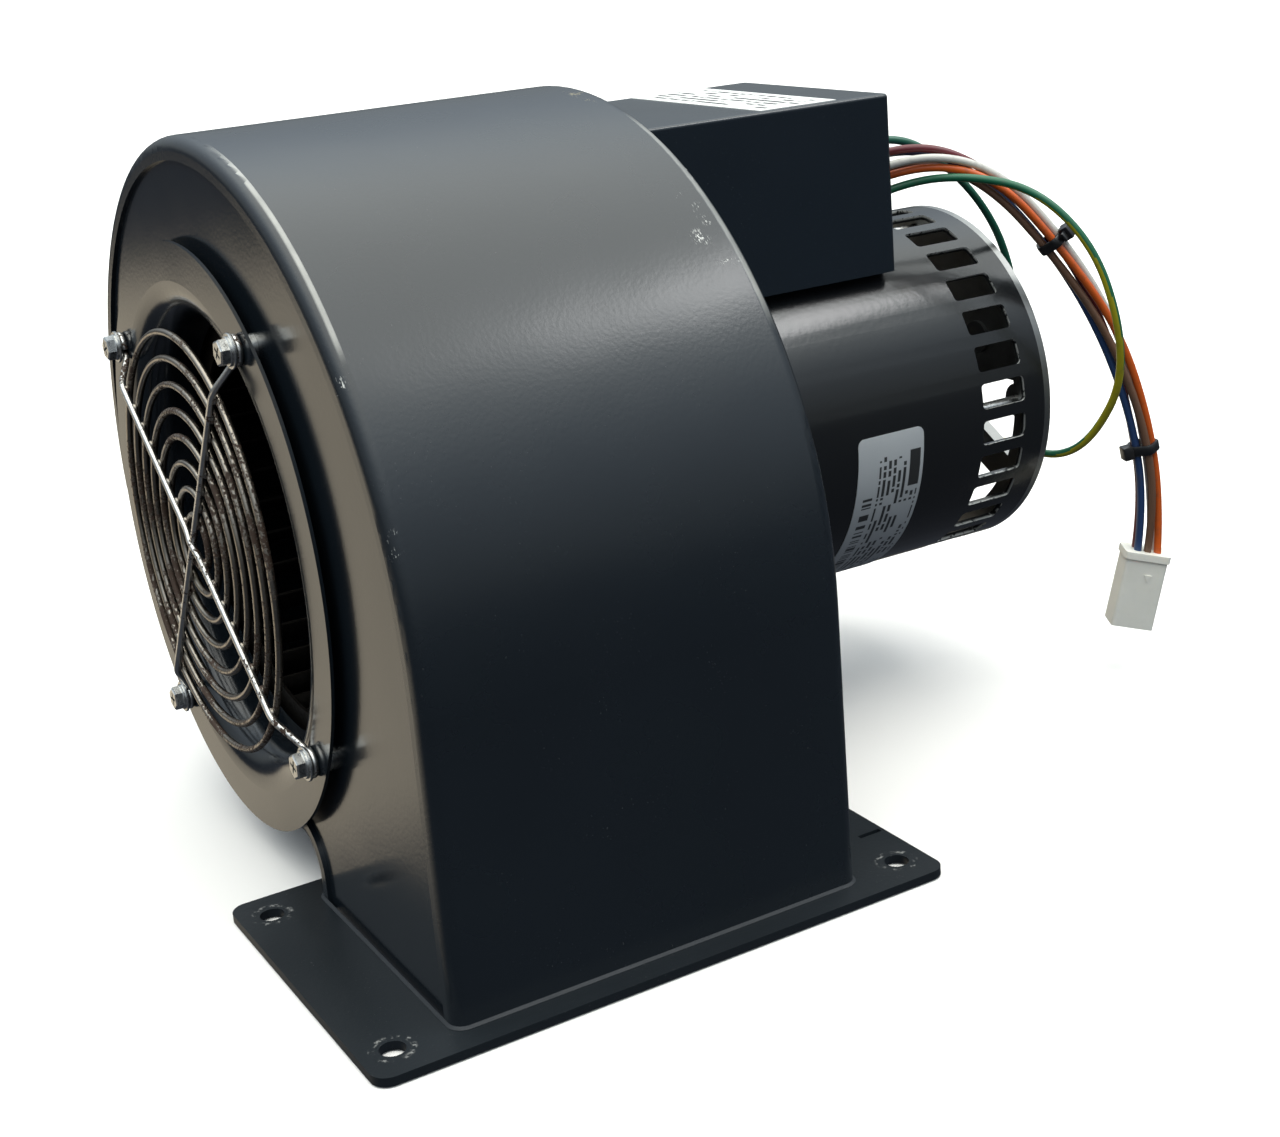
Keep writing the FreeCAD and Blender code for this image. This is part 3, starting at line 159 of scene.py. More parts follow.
class Recipe(Graph):
    """A material's node tree, made round its Principled shader."""

    def __init__(self, name: str) -> None:
        """Starts an empty material of this name."""
        self.material = bpy.data.materials.new(name)
        self.material.use_nodes = True
        super().__init__(self.material.node_tree)
        self.shader = self.tree.nodes["Principled BSDF"]
        self.place = self.add("ShaderNodeTexCoord").outputs["Object"]

    def set(self, **inputs: Value) -> None:
        """Sets the shader's inputs, named with underscores for spaces."""
        for key, value in inputs.items():
            self.feed(self.shader.inputs[key.replace("_", " ")], value)

    def noise(self, scale: float, detail: float = 2.0, stretch: Triple = (1.0, 1.0, 1.0),
              shift: float = 0.0) -> Socket:
        """Soft noise over the part.

        Args:
            scale: waves per metre.
            detail: how many finer layers it has.
            stretch: how much denser it is along each axis.
            shift: moves the pattern, so that two noises differ.

        Returns:
            A value round 0.5.
        """
        at = self.add("ShaderNodeMapping", {"Vector": self.place, "Location": (shift,) * 3, "Scale": stretch})
        return self.add("ShaderNodeTexNoise",
                        {"Vector": at.outputs[0], "Scale": scale, "Detail": detail}).outputs["Fac"]

    def mottle(self, scale: float, detail: float, low: Colour, high: Colour, shift: float = 0.0) -> Socket:
        """A colour that drifts between two with the noise."""
        return self.mix(self.noise(scale, detail, shift=shift), low, high)

    def uneven(self, scale: float, detail: float, low: float, high: float, shift: float = 0.0) -> Socket:
        """A number that drifts between two with the noise."""
        return self.blend(self.noise(scale, detail, shift=shift), low, high)

    def patchy(self, fine: Socket, wide: Socket, share: float) -> Socket:
        """Fine noise that comes and goes with a wide one."""
        return self.math("ADD", fine, self.product(self.math("SUBTRACT", wide, 0.5), share))

    def normal(self) -> Socket:
        """The way the surface faces."""
        return self.add("ShaderNodeNewGeometry").outputs["Normal"]

    def bump(self, *layers: tuple[Socket, float, float]) -> None:
        """Puts relief on the surface.

        Args:
            layers: the height, strength and depth in metres of each layer.
        """
        normal: Optional[Socket] = None
        for height, strength, depth in layers:
            node = self.add("ShaderNodeBump", {"Height": height, "Strength": strength, "Distance": depth})
            if normal is not None:
                self.feed(node.inputs["Normal"], normal)
            normal = node.outputs[0]
        self.set(Normal=normal)

    def radial(self) -> tuple[Socket, Socket]:
        """How far a point is from the shaft axis, and how squarely the surface faces away from it."""
        arm = self.vector("MULTIPLY", self.vector("SUBTRACT", self.place, tuple(SHAFT)), (1.0, 0.0, 1.0))
        facing = self.vector("DOT_PRODUCT", self.vector("NORMALIZE", arm), self.normal(), "Value")
        return self.vector("LENGTH", arm, out="Value"), facing


@dataclass(frozen=True)
class Finish:
    """One named finish. Its material is made once and shared."""

    name: str
    colour: Colour

    def paint(self, look: Recipe) -> None:
        """Builds the look in a new material."""
        raise NotImplementedError

    def material(self) -> bpy.types.Material:
        """The finish's material, made on first use."""
        found = bpy.data.materials.get(self.name)
        if found is None:
            look = Recipe(self.name)
            self.paint(look)
            found = look.material
        return found


@dataclass(frozen=True)
class Scuff:
    """A rubbed patch in paint: an ellipsoid inside which specks of another colour show."""

    centre: Triple
    reach: Triple
    amount: float = 0.5
    grain: float = 900.0
    colour: Colour = (0.62, 0.62, 0.58)
    stretch: Triple = (1.0, 3.0, 1.0)
    roughness: float = 0.7

    def mask(self, look: Recipe) -> Socket:
        """Where the specks are, from 0 to 1."""
        away = look.vector("DIVIDE", look.vector("SUBTRACT", look.place, self.centre), self.reach)
        inside = look.between(look.vector("LENGTH", away, out="Value"), 1.0, 0.3)
        speck = look.noise(self.grain, 6.0, self.stretch, self.centre[1])
        wide = look.noise(self.grain * 0.18, 3.0, shift=self.centre[0] + 5.0)
        shown = look.between(look.patchy(speck, wide, 0.9),
                             0.70 - self.amount * 0.12, 0.76 - self.amount * 0.06)
        return look.product(inside, shown, clamp=True)


@dataclass(frozen=True)
class PaintedEdgeHighlight:
    """A painted highlight: a thin bright line along a rolled edge where it leaves the wrap, where the edge catches
    the light.
    """

    y: float
    start: Span = (-0.085, -0.055)
    end: Span = (0.020, 0.012)
    lean: Span = (0.10, 0.42)
    reach: float = 0.006
    amount: float = 0.8
    # The painted highlight's colour and roughness.
    colour: Colour = (0.50, 0.49, 0.45)
    roughness: float = 0.35

    def mask(self, look: Recipe) -> Socket:
        """Where the painted highlight lies, from 0 to 1."""
        x, y, _ = look.split(look.place)
        away = look.math("ABSOLUTE", look.math("SUBTRACT", y, self.y))
        tilt = look.math("ABSOLUTE", look.split(look.normal())[1])
        low, high = self.lean
        return look.product(
            look.between(away, self.reach, self.reach * 0.8),
            look.between(tilt, low * 0.4, low), look.between(tilt, high, high * 0.6),
            look.between(x, *self.start), look.between(x, *self.end),
            look.uneven(90.0, 5.0, 0.35, 1.1, 11.0), self.amount, clamp=True)


@dataclass(frozen=True)
class SprayPaint(Finish):
    """Sprayed enamel on sheet metal: an even coat with orange peel, slow waves, dust, rubbed spots and painted
    highlight lines along rolled edges.
    """

    roughness: float = 0.26
    peel: float = 0.10
    waves: float = 0.10
    dust: float = 0.25
    scuffs: tuple[Scuff, ...] = ()
    # Painted highlight lines along rolled edges, where they catch the light.
    edges: tuple[PaintedEdgeHighlight, ...] = ()
    holes: tuple[Triple, ...] = ()
    dust_colour: Colour = (0.30, 0.30, 0.28)
    ring_colour: Colour = (0.22, 0.22, 0.21)
    ring_roughness: float = 0.5
    ring_reach: tuple[Span, Span] = ((1.25, 1.45), (1.85, 1.6))

    def hole_rings(self, look: Recipe) -> Socket:
        """Bare rings scratched round the bolt holes, from 0 to 1."""
        level: Value = 0.0
        for x, y, radius in self.holes:
            away = look.vector("SUBTRACT", look.place, (x, y, 0.0))
            reach = look.vector("LENGTH", look.vector("MULTIPLY", away, (1.0, 1.0, 0.0)), out="Value")
            ring = look.product(*(look.between(reach, radius * low, radius * high)
                                  for low, high in self.ring_reach))
            level = look.math("ADD", level, ring)
        return look.product(level, look.between(look.noise(520.0, 6.0), 0.50, 0.70), clamp=True)

    def paint(self, look: Recipe) -> None:
        """Builds the enamel. The slow waves are the dips that bending leaves in thin sheet."""
        colour = look.mottle(14.0, 3.0, shade(self.colour, 0.82), shade(self.colour, 1.18))
        specks = look.between(look.noise(1500.0, 2.0, shift=3.0), 0.70, 0.78)
        settled = look.between(look.noise(40.0, 3.0, shift=7.0), 0.45, 0.7)
        colour = look.mix(look.product(specks, settled, self.dust), colour, self.dust_colour)
        rough = look.uneven(30.0, 4.0, self.roughness * 0.85, self.roughness * 1.2, 1.0)
        # Rubbed spots and scratched hole rings, which are real wear, and the painted edge highlights, each laid
        # over the paint with its own colour and roughness.
        wear_and_highlights = [(mark.mask(look), mark.colour, mark.roughness) for mark in (*self.scuffs, *self.edges)]
        if self.holes:
            wear_and_highlights.append((self.hole_rings(look), self.ring_colour, self.ring_roughness))
        for mask, bare_and_highlight, dull in wear_and_highlights:
            colour, rough = look.mix(mask, colour, bare_and_highlight), look.blend(mask, rough, dull)
        look.set(Base_Color=colour, Roughness=rough, IOR=1.5)
        look.bump((look.noise(650.0, 2.0), self.peel, 0.0004),
                  (look.noise(22.0, 1.0, shift=2.0), self.waves, 0.004))


@dataclass(frozen=True)
class PlatedSteel(Finish):
    """Zinc or nickel plate: bright, with cloudy patches and fine scratches."""

    roughness: float = 0.28
    grime: float = 0.35
    dirt: Colour = (0.05, 0.04, 0.03)

    def paint(self, look: Recipe) -> None:
        """Builds the plating."""
        colour = look.mottle(260.0, 5.0, shade(self.colour, 0.55), self.colour)
        soiled = look.between(look.noise(900.0, 4.0, shift=4.0), 0.52, 0.7)
        rough = look.uneven(500.0, 3.0, self.roughness * 0.6, self.roughness * 1.5, 2.0)
        look.set(Base_Color=look.mix(look.product(soiled, self.grime), colour, self.dirt),
                 Metallic=1.0, Roughness=rough)
        look.bump((look.noise(1800.0, 3.0, (1.0, 6.0, 1.0)), 0.15, 0.0002))


@dataclass(frozen=True)
class RustyWire(Finish):
    """Drawn steel wire whose plating has gone in brown and black specks."""

    rust: Colour = (0.030, 0.017, 0.011)
    amount: float = 0.5

    def paint(self, look: Recipe) -> None:
        """Builds the speckled wire."""
        clean = look.mottle(180.0, 3.0, shade(self.colour, 0.55), self.colour)
        fine = look.noise(850.0, 5.0, shift=5.0)
        wide = look.noise(45.0, 3.0, shift=9.0)
        level = look.between(look.patchy(fine, wide, 1.2),
                             0.66 - self.amount * 0.2, 0.70 - self.amount * 0.12)
        stain = look.mottle(1500.0, 3.0, self.rust, shade(self.rust, 2.6))
        look.set(Base_Color=look.mix(level, clean, stain), Metallic=look.blend(level, 1.0, 0.2),
                 Roughness=look.blend(level, 0.30, 0.75))
        look.bump((look.math("SUBTRACT", fine, level), 0.3, 0.0003))


@dataclass(frozen=True)
class BareMetal(Finish):
    """Turned, cast or rolled metal: streaks along one axis and dull patches."""

    roughness: float = 0.35
    streak: Triple = (1.0, 1.0, 1.0)
    depth: float = 0.2

    def paint(self, look: Recipe) -> None:
        """Builds the metal."""
        lines = look.noise(900.0, 4.0, self.streak)
        tone = look.mottle(60.0, 4.0, shade(self.colour, 0.6), self.colour, 6.0)
        rough = look.uneven(120.0, 3.0, self.roughness * 0.75, self.roughness * 1.3, 2.0)
        look.set(Base_Color=look.mix(look.product(lines, 0.35), tone, shade(self.colour, 0.45)),
                 Metallic=1.0, Roughness=rough)
        look.bump((lines, self.depth, 0.0003))


@dataclass(frozen=True)
class Moulding(Finish):
    """Plastic or rubber: a slightly mottled body with a fine grain and handling marks."""

    roughness: float = 0.45
    grain: float = 0.12
    soil: Colour = (0.20, 0.16, 0.11)
    soiling: float = 0.15
    glow: float = 0.0
    glow_reach: Triple = (0.004, 0.0035, 0.0028)

    def paint(self, look: Recipe) -> None:
        """Builds the plastic."""
        colour = look.mottle(90.0, 4.0, shade(self.colour, 0.86), self.colour)
        marks = look.between(look.noise(240.0, 5.0, shift=8.0), 0.5, 0.72)
        rough = look.uneven(300.0, 3.0, self.roughness * 0.8, self.roughness * 1.2, 3.0)
        look.set(Base_Color=look.mix(look.product(marks, self.soiling), colour, self.soil),
                 Roughness=rough, IOR=1.48)
        if self.glow:
            look.set(Subsurface_Weight=self.glow, Subsurface_Radius=self.glow_reach, Subsurface_Scale=1.0)
        look.bump((look.noise(2200.0, 2.0), self.grain, 0.0002))


@dataclass(frozen=True)
class MotorEnamel(Finish):
    """Glossy black dip paint on the motor's shell, with bright unpainted steel on the walls of the stamped vents,
    which also serves as a painted highlight along the vent edges.
    """

    # Colour of the vent walls: unpainted steel and a painted highlight along the vent edges.
    vent_wall_and_highlight: Colour = (0.62, 0.62, 0.59)
    side_faces: Span = (0.93, 0.75)
    skin: Span = (0.0697, 0.0707)

    def paint(self, look: Recipe) -> None:
        """Builds the enamel and its bright slot walls, unpainted steel and painted highlight in one."""
        radius, facing = look.radial()
        across = look.between(look.math("ABSOLUTE", facing), *self.side_faces)
        broken = look.between(look.noise(500.0, 4.0), 0.36, 0.46)
        # Where the vent walls show unpainted steel and the painted highlight, broken up by noise.
        bare_and_highlight = look.product(across, look.between(radius, *self.skin), broken)
        colour = look.mottle(25.0, 3.0, shade(self.colour, 0.8), self.colour)
        rough = look.uneven(45.0, 4.0, 0.17, 0.24, 1.0)
        look.set(Base_Color=look.mix(bare_and_highlight, colour, self.vent_wall_and_highlight), Metallic=look.product(bare_and_highlight, 0.4),
                 Roughness=look.blend(bare_and_highlight, rough, 0.5), IOR=1.5)
        look.bump((look.noise(420.0, 2.0), 0.10, 0.0004),
                  (look.noise(30.0, 1.0, (1.0, 0.4, 1.0), 4.0), 0.02, 0.004))


class Print(Enum):
    """Which generic marks a label carries."""

    PLATE = "plate"
    LID = "lid"


@dataclass(frozen=True)
class PrintedLabel(Finish):
    """A label whose print is only blocks, bars and broken lines, with no letters.

    The nameplate's patches are each a span across it from its front edge and a span round the motor
    from the top, in metres.
    """

    marks: Print = Print.PLATE
    ink: Colour = (0.03, 0.03, 0.03)
    metallic: float = 0.0
    roughness: float = 0.4
    shell_radius: float = 0.071
    block: tuple[Span, Span] = ((0.0245, 0.0295), (0.1175, 0.1330))
    text: tuple[Span, Span] = ((0.0100, 0.0295), (0.1350, 0.1990))
    head: tuple[Span, Span] = ((0.0100, 0.0230), (0.1180, 0.1350))
    code: tuple[Span, Span] = ((0.0035, 0.0080), (0.1340, 0.1850))
    code_bar: float = 0.0006
    lid_margin: Span = (0.004, 0.003)

    def patch(self, look: Recipe, spot: Spot, spans: tuple[Span, Span]) -> Socket:
        """1 inside a rectangle, else 0."""
        return look.product(*(look.math(test, value, limit) for value, span in zip(spot, spans)
                              for test, limit in zip(("GREATER_THAN", "LESS_THAN"), span)))

    def chance(self, look: Recipe, along: Socket, row: Value, grain: float) -> Socket:
        """A number from 0 to 1 for each cell of a row."""
        at = look.add("ShaderNodeCombineXYZ", {0: look.product(along, grain), 1: row})
        return look.add("ShaderNodeTexWhiteNoise", {"Vector": look.vector("FLOOR", at.outputs[0])},
                        noise_dimensions="2D").outputs["Value"]

    def rows(self, look: Recipe, spot: Spot, pitch: float, share: float, grain: float) -> Socket:
        """Broken lines of print.

        Args:
            look: the material being made.
            spot: the distances across the lines and along them.
            pitch: from one line to the next.
            share: how much of the pitch the ink is tall.
            grain: word lengths per metre.

        Returns:
            Ink from 0 to 1.
        """
        count = look.math("DIVIDE", spot[0], pitch)
        row = look.math("FLOOR", count)
        words, letters = (look.math("GREATER_THAN", self.chance(look, spot[1], row, scale), limit)
                          for scale, limit in ((grain, 0.30), (grain * 6.0, 0.22)))
        return look.product(look.math("LESS_THAN", look.math("FRACT", count), share), words, letters)

    def plate_ink(self, look: Recipe) -> Socket:
        """The nameplate's marks: a solid block, rows of print and a band of bars."""
        x, y, z = look.split(look.vector("SUBTRACT", look.place, tuple(SHAFT)))
        across = look.math("SUBTRACT", y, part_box("motor_nameplate")[0].y)
        spot = across, look.product(look.math("ARCTAN2", x, z), self.shell_radius)
        bars = look.math("GREATER_THAN", self.chance(look, spot[1], 0.0, 1.0 / self.code_bar), 0.5)
        ink = self.patch(look, spot, self.block)
        for marks, spans in ((self.rows(look, spot, 0.0024, 0.55, 150.0), self.text),
                             (self.rows(look, spot, 0.0024, 0.55, 200.0), self.head), (bars, self.code)):
            ink = look.math("MAXIMUM", ink, look.product(marks, self.patch(look, spot, spans)))
        return ink

    def lid_ink(self, look: Recipe) -> Socket:
        """The lid label's marks: rows of print across its whole length."""
        low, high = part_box("box_label")
        x, y, _ = look.split(look.vector("SUBTRACT", look.place, tuple(low)))
        spans = tuple((edge, size - edge) for size, edge in zip(high - low, self.lid_margin))
        return look.product(self.rows(look, (y, x), 0.0046, 0.5, 110.0), self.patch(look, (x, y), spans))

    def paint(self, look: Recipe) -> None:
        """Builds the foil or paper and its print."""
        ink = {Print.PLATE: self.plate_ink, Print.LID: self.lid_ink}[self.marks](look)
        paper = look.mottle(50.0, 3.0, shade(self.colour, 0.88), self.colour)
        rough = look.uneven(200.0, 3.0, self.roughness * 0.85, self.roughness * 1.15)
        look.set(Base_Color=look.mix(ink, paper, self.ink), Roughness=rough, IOR=1.5,
                 Metallic=look.product(look.math("SUBTRACT", 1.0, ink), self.metallic))
        look.bump((look.noise(300.0, 3.0, shift=2.0), 0.05, 0.0003))


@dataclass(frozen=True)
class WireSkin(Moulding):
    """Wire insulation: smooth plastic with dirt rubbed along it."""

    roughness: float = 0.36
    grain: float = 0.06
    soil: Colour = (0.06, 0.05, 0.04)
    soiling: float = 0.30


SLATE: Colour = (0.0085, 0.0120, 0.0160)
FLANGE_HOLES = tuple((x, y, 0.0042) for x in (-0.051, 0.051) for y in (-0.094, 0.094))
FINISHES: dict[str, Finish] = {
    "housing_paint": SprayPaint("Housing_Paint", SLATE),
    "box_paint": SprayPaint("Box_Paint", (0.009, 0.014, 0.020), roughness=0.22),
    "foam_rubber": Moulding("Foam_Rubber", (0.020, 0.020, 0.020), roughness=0.85, grain=0.5),
    "zinc_plate": PlatedSteel("Zinc_Plate", (0.72, 0.72, 0.70)),
    "guard_wire": RustyWire("Guard_Wire", (0.36, 0.32, 0.27), amount=0.7),
    "motor_paint": MotorEnamel("Motor_Enamel", (0.010, 0.011, 0.012)),
    "bell_steel": BareMetal("Bell_Steel", (0.40, 0.40, 0.39), roughness=0.36, streak=(1.0, 0.1, 1.0)),
    "black_rubber": Moulding("Black_Rubber", (0.012, 0.012, 0.012), roughness=0.6, grain=0.3),
    "lamination_steel": BareMetal("Lamination_Steel", (0.22, 0.21, 0.20), 0.5, (0.2, 6.0, 0.2)),
    "copper_winding": BareMetal("Copper_Winding", (0.42, 0.18, 0.07), 0.3, (3.0, 0.3, 3.0), depth=0.5),
    "bearing_steel": BareMetal("Bearing_Steel", (0.70, 0.70, 0.70), roughness=0.18, depth=0.05),
    "label_foil": PrintedLabel("Label_Foil", (0.56, 0.58, 0.59), Print.PLATE, metallic=0.15),
    "label_paper": PrintedLabel("Label_Paper", (0.80, 0.80, 0.77), Print.LID, roughness=0.5),
    "capacitor_can": BareMetal("Capacitor_Can", (0.62, 0.62, 0.62), streak=(0.2, 4.0, 4.0)),
    "terminal_moulding": Moulding("Terminal_Moulding", (0.030, 0.030, 0.030)),
    "tie_nylon": Moulding("Tie_Nylon", (0.010, 0.010, 0.011), roughness=0.33, soiling=0.05),
    "plug_nylon": Moulding("Plug_Nylon", (0.90, 0.87, 0.78), roughness=0.42, soiling=0.03, glow=0.15),
    "contact_brass": BareMetal("Contact_Brass", (0.62, 0.44, 0.16), roughness=0.3),
    "shaft_steel": BareMetal("Shaft_Steel", (0.45, 0.45, 0.44), roughness=0.28, streak=(1.0, 12.0, 1.0)),
    "cast_aluminium": BareMetal("Cast_Aluminium", (0.50, 0.50, 0.49), roughness=0.5, depth=0.5),
    "fan_moulding": Moulding("Fan_Moulding", (0.05, 0.05, 0.05), roughness=0.55),
    "galvanised_sheet": PlatedSteel("Galvanised_Sheet", (0.045, 0.040, 0.036), roughness=0.5, grime=0.6),
    "earth_insulation": WireSkin("Earth_Yellow_Skin", (0.36, 0.32, 0.012)),
    **{f"{name}_insulation": WireSkin(f"{name.title()}_Wire_Skin", colour) for name, colour in (
        ("white", (0.62, 0.60, 0.55)), ("orange", (0.62, 0.105, 0.012)), ("tan", (0.155, 0.080, 0.048)),
        ("blue", (0.020, 0.050, 0.140)), ("maroon", (0.130, 0.016, 0.022)),
        ("green", (0.010, 0.105, 0.062)))},
}
ARM_WIRE = RustyWire("Guard_Arm_Wire", (0.78, 0.76, 0.72), amount=0.15)
EARTH_GREEN = WireSkin("Earth_Green_Skin", (0.012, 0.125, 0.060))


# ---------------------------------------------------------------- mesh helpers
def object_from(name: str, mesh: Mesh, finishes: Sequence[Finish], smooth: bool = True) -> Piece:
    """Turns a working mesh into a piece of the scene.

    Args:
        name: the piece's name.
        mesh: the working mesh, which is freed.
        finishes: the finishes in the order of the faces' material numbers.
        smooth: whether faces are shaded smooth, with edges over 35 degrees kept sharp.

    Returns:
        The new object.
    """
    bmesh.ops.recalc_face_normals(mesh, faces=mesh.faces)
    data = bpy.data.meshes.new(name)
    mesh.to_mesh(data)
    mesh.free()
    for finish in finishes:
        data.materials.append(finish.material())
    if smooth:
        data.shade_smooth()
        data.set_sharp_from_angle(angle=math.radians(35.0))
    piece = bpy.data.objects.new(name, data)
    bpy.context.scene.collection.objects.link(piece)
    return piece


def bridge(mesh: Mesh, a: list, b: list) -> list:
    """Joins two rings of corners, either of which may be a single point, and gives the new faces."""
    faces = []
    for n in range(max(len(a), len(b))):
        m = n + 1
        corners = [a[n % len(a)], a[m % len(a)], b[m % len(b)], b[n % len(b)]]
        faces.append(mesh.faces.new(list(dict.fromkeys(corners))))
    return faces


def sweep(mesh: Mesh, line: Sequence[Vector], radius: float, sides: int = 12, closed: bool = False,
          stripe: Optional[Callable[[float, float], int]] = None) -> None:
    """Adds a round bar along a line.

    Args:
        mesh: the working mesh.
        line: the points of its middle.
        radius: the bar's radius.
        sides: faces round it.
        closed: whether the line is a loop.
        stripe: gives each face's material number from its share of the length and its angle.
    """
    count = len(line)
    tangents = []
    for k in range(count):
        ahead = line[(k + 1) % count] if closed or k < count - 1 else line[k]
        behind = line[k - 1] if closed or k else line[k]
        tangents.append((ahead - behind).normalized())
    side = tangents[0].orthogonal().normalized()
    rings = []
    for point, tangent in zip(line, tangents):
        side = (side - tangent * side.dot(tangent)).normalized()
        other = tangent.cross(side)
        rings.append([mesh.verts.new(point + (side * math.cos(a) + other * math.sin(a)) * radius)
                      for a in (math.tau * n / sides for n in range(sides))])
    spans = list(zip(rings, rings[1:] + ([rings[0]] if closed else [])))
    for k, (a, b) in enumerate(spans):
        for n, face in enumerate(bridge(mesh, a, b)):
            if stripe:
                face.material_index = stripe(k / len(spans), math.tau * (n + 0.5) / sides)
    if not closed:
        mesh.faces.new(list(reversed(rings[0])))
        mesh.faces.new(rings[-1])


def lathe(mesh: Mesh, profile: Sequence[tuple[float, float]], base: Vector, axis: Vector,
          sides: int = 32) -> None:
    """Adds a turned piece.

    Args:
        mesh: the working mesh.
        profile: radius and height of each point, from one end's middle to the other's.
        base: where height 0 is.
        axis: the direction of height.
        sides: faces round it.
    """
    up = axis.normalized()
    side = up.orthogonal().normalized()
    other = up.cross(side)
    rings = []
    for radius, height in profile:
        middle = base + up * height
        if radius < 1e-7:
            rings.append([mesh.verts.new(middle)])
            continue
        rings.append([mesh.verts.new(middle + (side * math.cos(a) + other * math.sin(a)) * radius)
                      for a in (math.tau * n / sides for n in range(sides))])
    for a, b in zip(rings, rings[1:]):
        bridge(mesh, a, b)


def smooth_line(points: Sequence[Vector], radius: float, steps: int = 6) -> list[Vector]:
    """Rounds the corners of a line of straight runs.

    Args:
        points: the corners.
        radius: how far each bend reaches along its runs.
        steps: points in each bend.

    Returns:
        The rounded line.
    """
    line = [points[0]]
    for before, corner, after in zip(points, points[1:], points[2:]):
        start = corner + (before - corner).normalized() * min(radius, (before - corner).length * 0.45)
        end = corner + (after - corner).normalized() * min(radius, (after - corner).length * 0.45)
        for k in range(steps + 1):
            t = k / steps
            line.append(start * (1 - t) ** 2 + corner * 2 * t * (1 - t) + end * t ** 2)
    line.append(points[-1])
    return line


def around(radius: float, degrees: float, y: float) -> Vector:
    """A point round the shaft, clockwise from the top as the inlet is faced."""
    a = math.radians(degrees)
    return Vector((SHAFT.x + radius * math.sin(a), y, SHAFT.z + radius * math.cos(a)))


# ---------------------------------------------------------------- sub-assemblies
@dataclass
class Assembly:
    """A group of parts that are dressed and detailed together."""

    body: str = HOUSING

    def dress(self, node: str, finish: Finish) -> None:
        """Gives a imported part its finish.

        Args:
            node: the part's name.
            finish: the finish it takes.
        """
        piece = frame["nodes"][node]
        piece.data.materials.clear()
        piece.data.materials.append(finish.material())
        LOG.info("%s: %s", node, finish.name)

    def place(self, piece: Piece, slot: str, *nodes: str) -> Piece:
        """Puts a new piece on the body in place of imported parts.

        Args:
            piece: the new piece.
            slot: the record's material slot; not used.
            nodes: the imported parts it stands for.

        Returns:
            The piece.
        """
        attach(piece, self.body)
        if nodes:
            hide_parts(*nodes)
        LOG.info("%s stands for %s", piece.name, ", ".join(nodes) or "nothing")
        return piece

    def build(self) -> None:
        """Builds and dresses the whole group."""
        raise NotImplementedError


@dataclass
class PackedParts(Assembly):
    """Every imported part, the plug among them, in the finish that the record gives it."""

    def build(self) -> None:
        """Dresses them all."""
        for row in frame["record"]["subparts"]:
            self.dress(row["node"], FINISHES[row["material_slot"]])


@dataclass
class ScrollHousing(Assembly):
    """The painted shell, with the rubs on its back edge, painted highlight lines along its rolled front and back
    edges, and the scratched bolt holes.
    """

    scuffs: tuple[Scuff, ...] = (
        Scuff((-0.0020, 0.0665, 0.2250), (0.0060, 0.0030, 0.0150), 0.9, 700.0),
        Scuff((0.0050, 0.0610, 0.2185), (0.0060, 0.0040, 0.0040), 0.8, 800.0),
        Scuff((-0.0100, 0.0625, 0.2300), (0.0025, 0.0020, 0.0060), 0.8, 900.0),
        Scuff((-0.0240, 0.0735, 0.2400), (0.0200, 0.0030, 0.0160), 1.0, 700.0),
        Scuff((0.0125, 0.0670, 0.2110), (0.0060, 0.0060, 0.0012), 0.9, 900.0),
        Scuff((-0.0800, 0.0670, 0.2600), (0.0160, 0.0045, 0.0040), 0.6, 800.0, (0.30, 0.26, 0.16)),
        Scuff((0.0456, -0.0725, 0.1552), (0.0030, 0.0030, 0.0060), 0.7, 700.0),
        Scuff((0.0216, -0.0742, 0.1968), (0.0040, 0.0030, 0.0060), 0.5, 700.0))
    # Painted highlight lines along the rolled front and back edges, standing for the light they catch.
    edges: tuple[PaintedEdgeHighlight, ...] = (
        PaintedEdgeHighlight(-0.0725), PaintedEdgeHighlight(0.0725, (-0.060, -0.040), (0.030, 0.020), (0.15, 0.7), amount=0.55))

    def build(self) -> None:
        """Dresses the wrap, the plates, the weld and the flange."""
        self.dress("scroll_wrap", SprayPaint("Wrap_Paint", SLATE, scuffs=self.scuffs, edges=self.edges))
        for node in ("inlet_side_plate", "inlet_ring", "motor_side_plate"):
            self.dress(node, SprayPaint("Plate_Paint", SLATE, roughness=0.15, peel=0.05, waves=0.05))
        self.dress("flange_weld", SprayPaint("Weld_Paint", (0.010, 0.013, 0.017), roughness=0.6, peel=0.5))
        self.dress("base_flange", SprayPaint("Flange_Paint", (0.0085, 0.0115, 0.0145), roughness=0.36,
                                             dust=0.5, holes=FLANGE_HOLES))


SCREW_CIRCLE = 97.0 * MM
SCREW_TURNS = tuple(36.6 + 90.0 * k for k in range(4))


def inlet_face() -> float:
    """The inlet ring's outer face, along Y."""
    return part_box("inlet_ring")[0].y


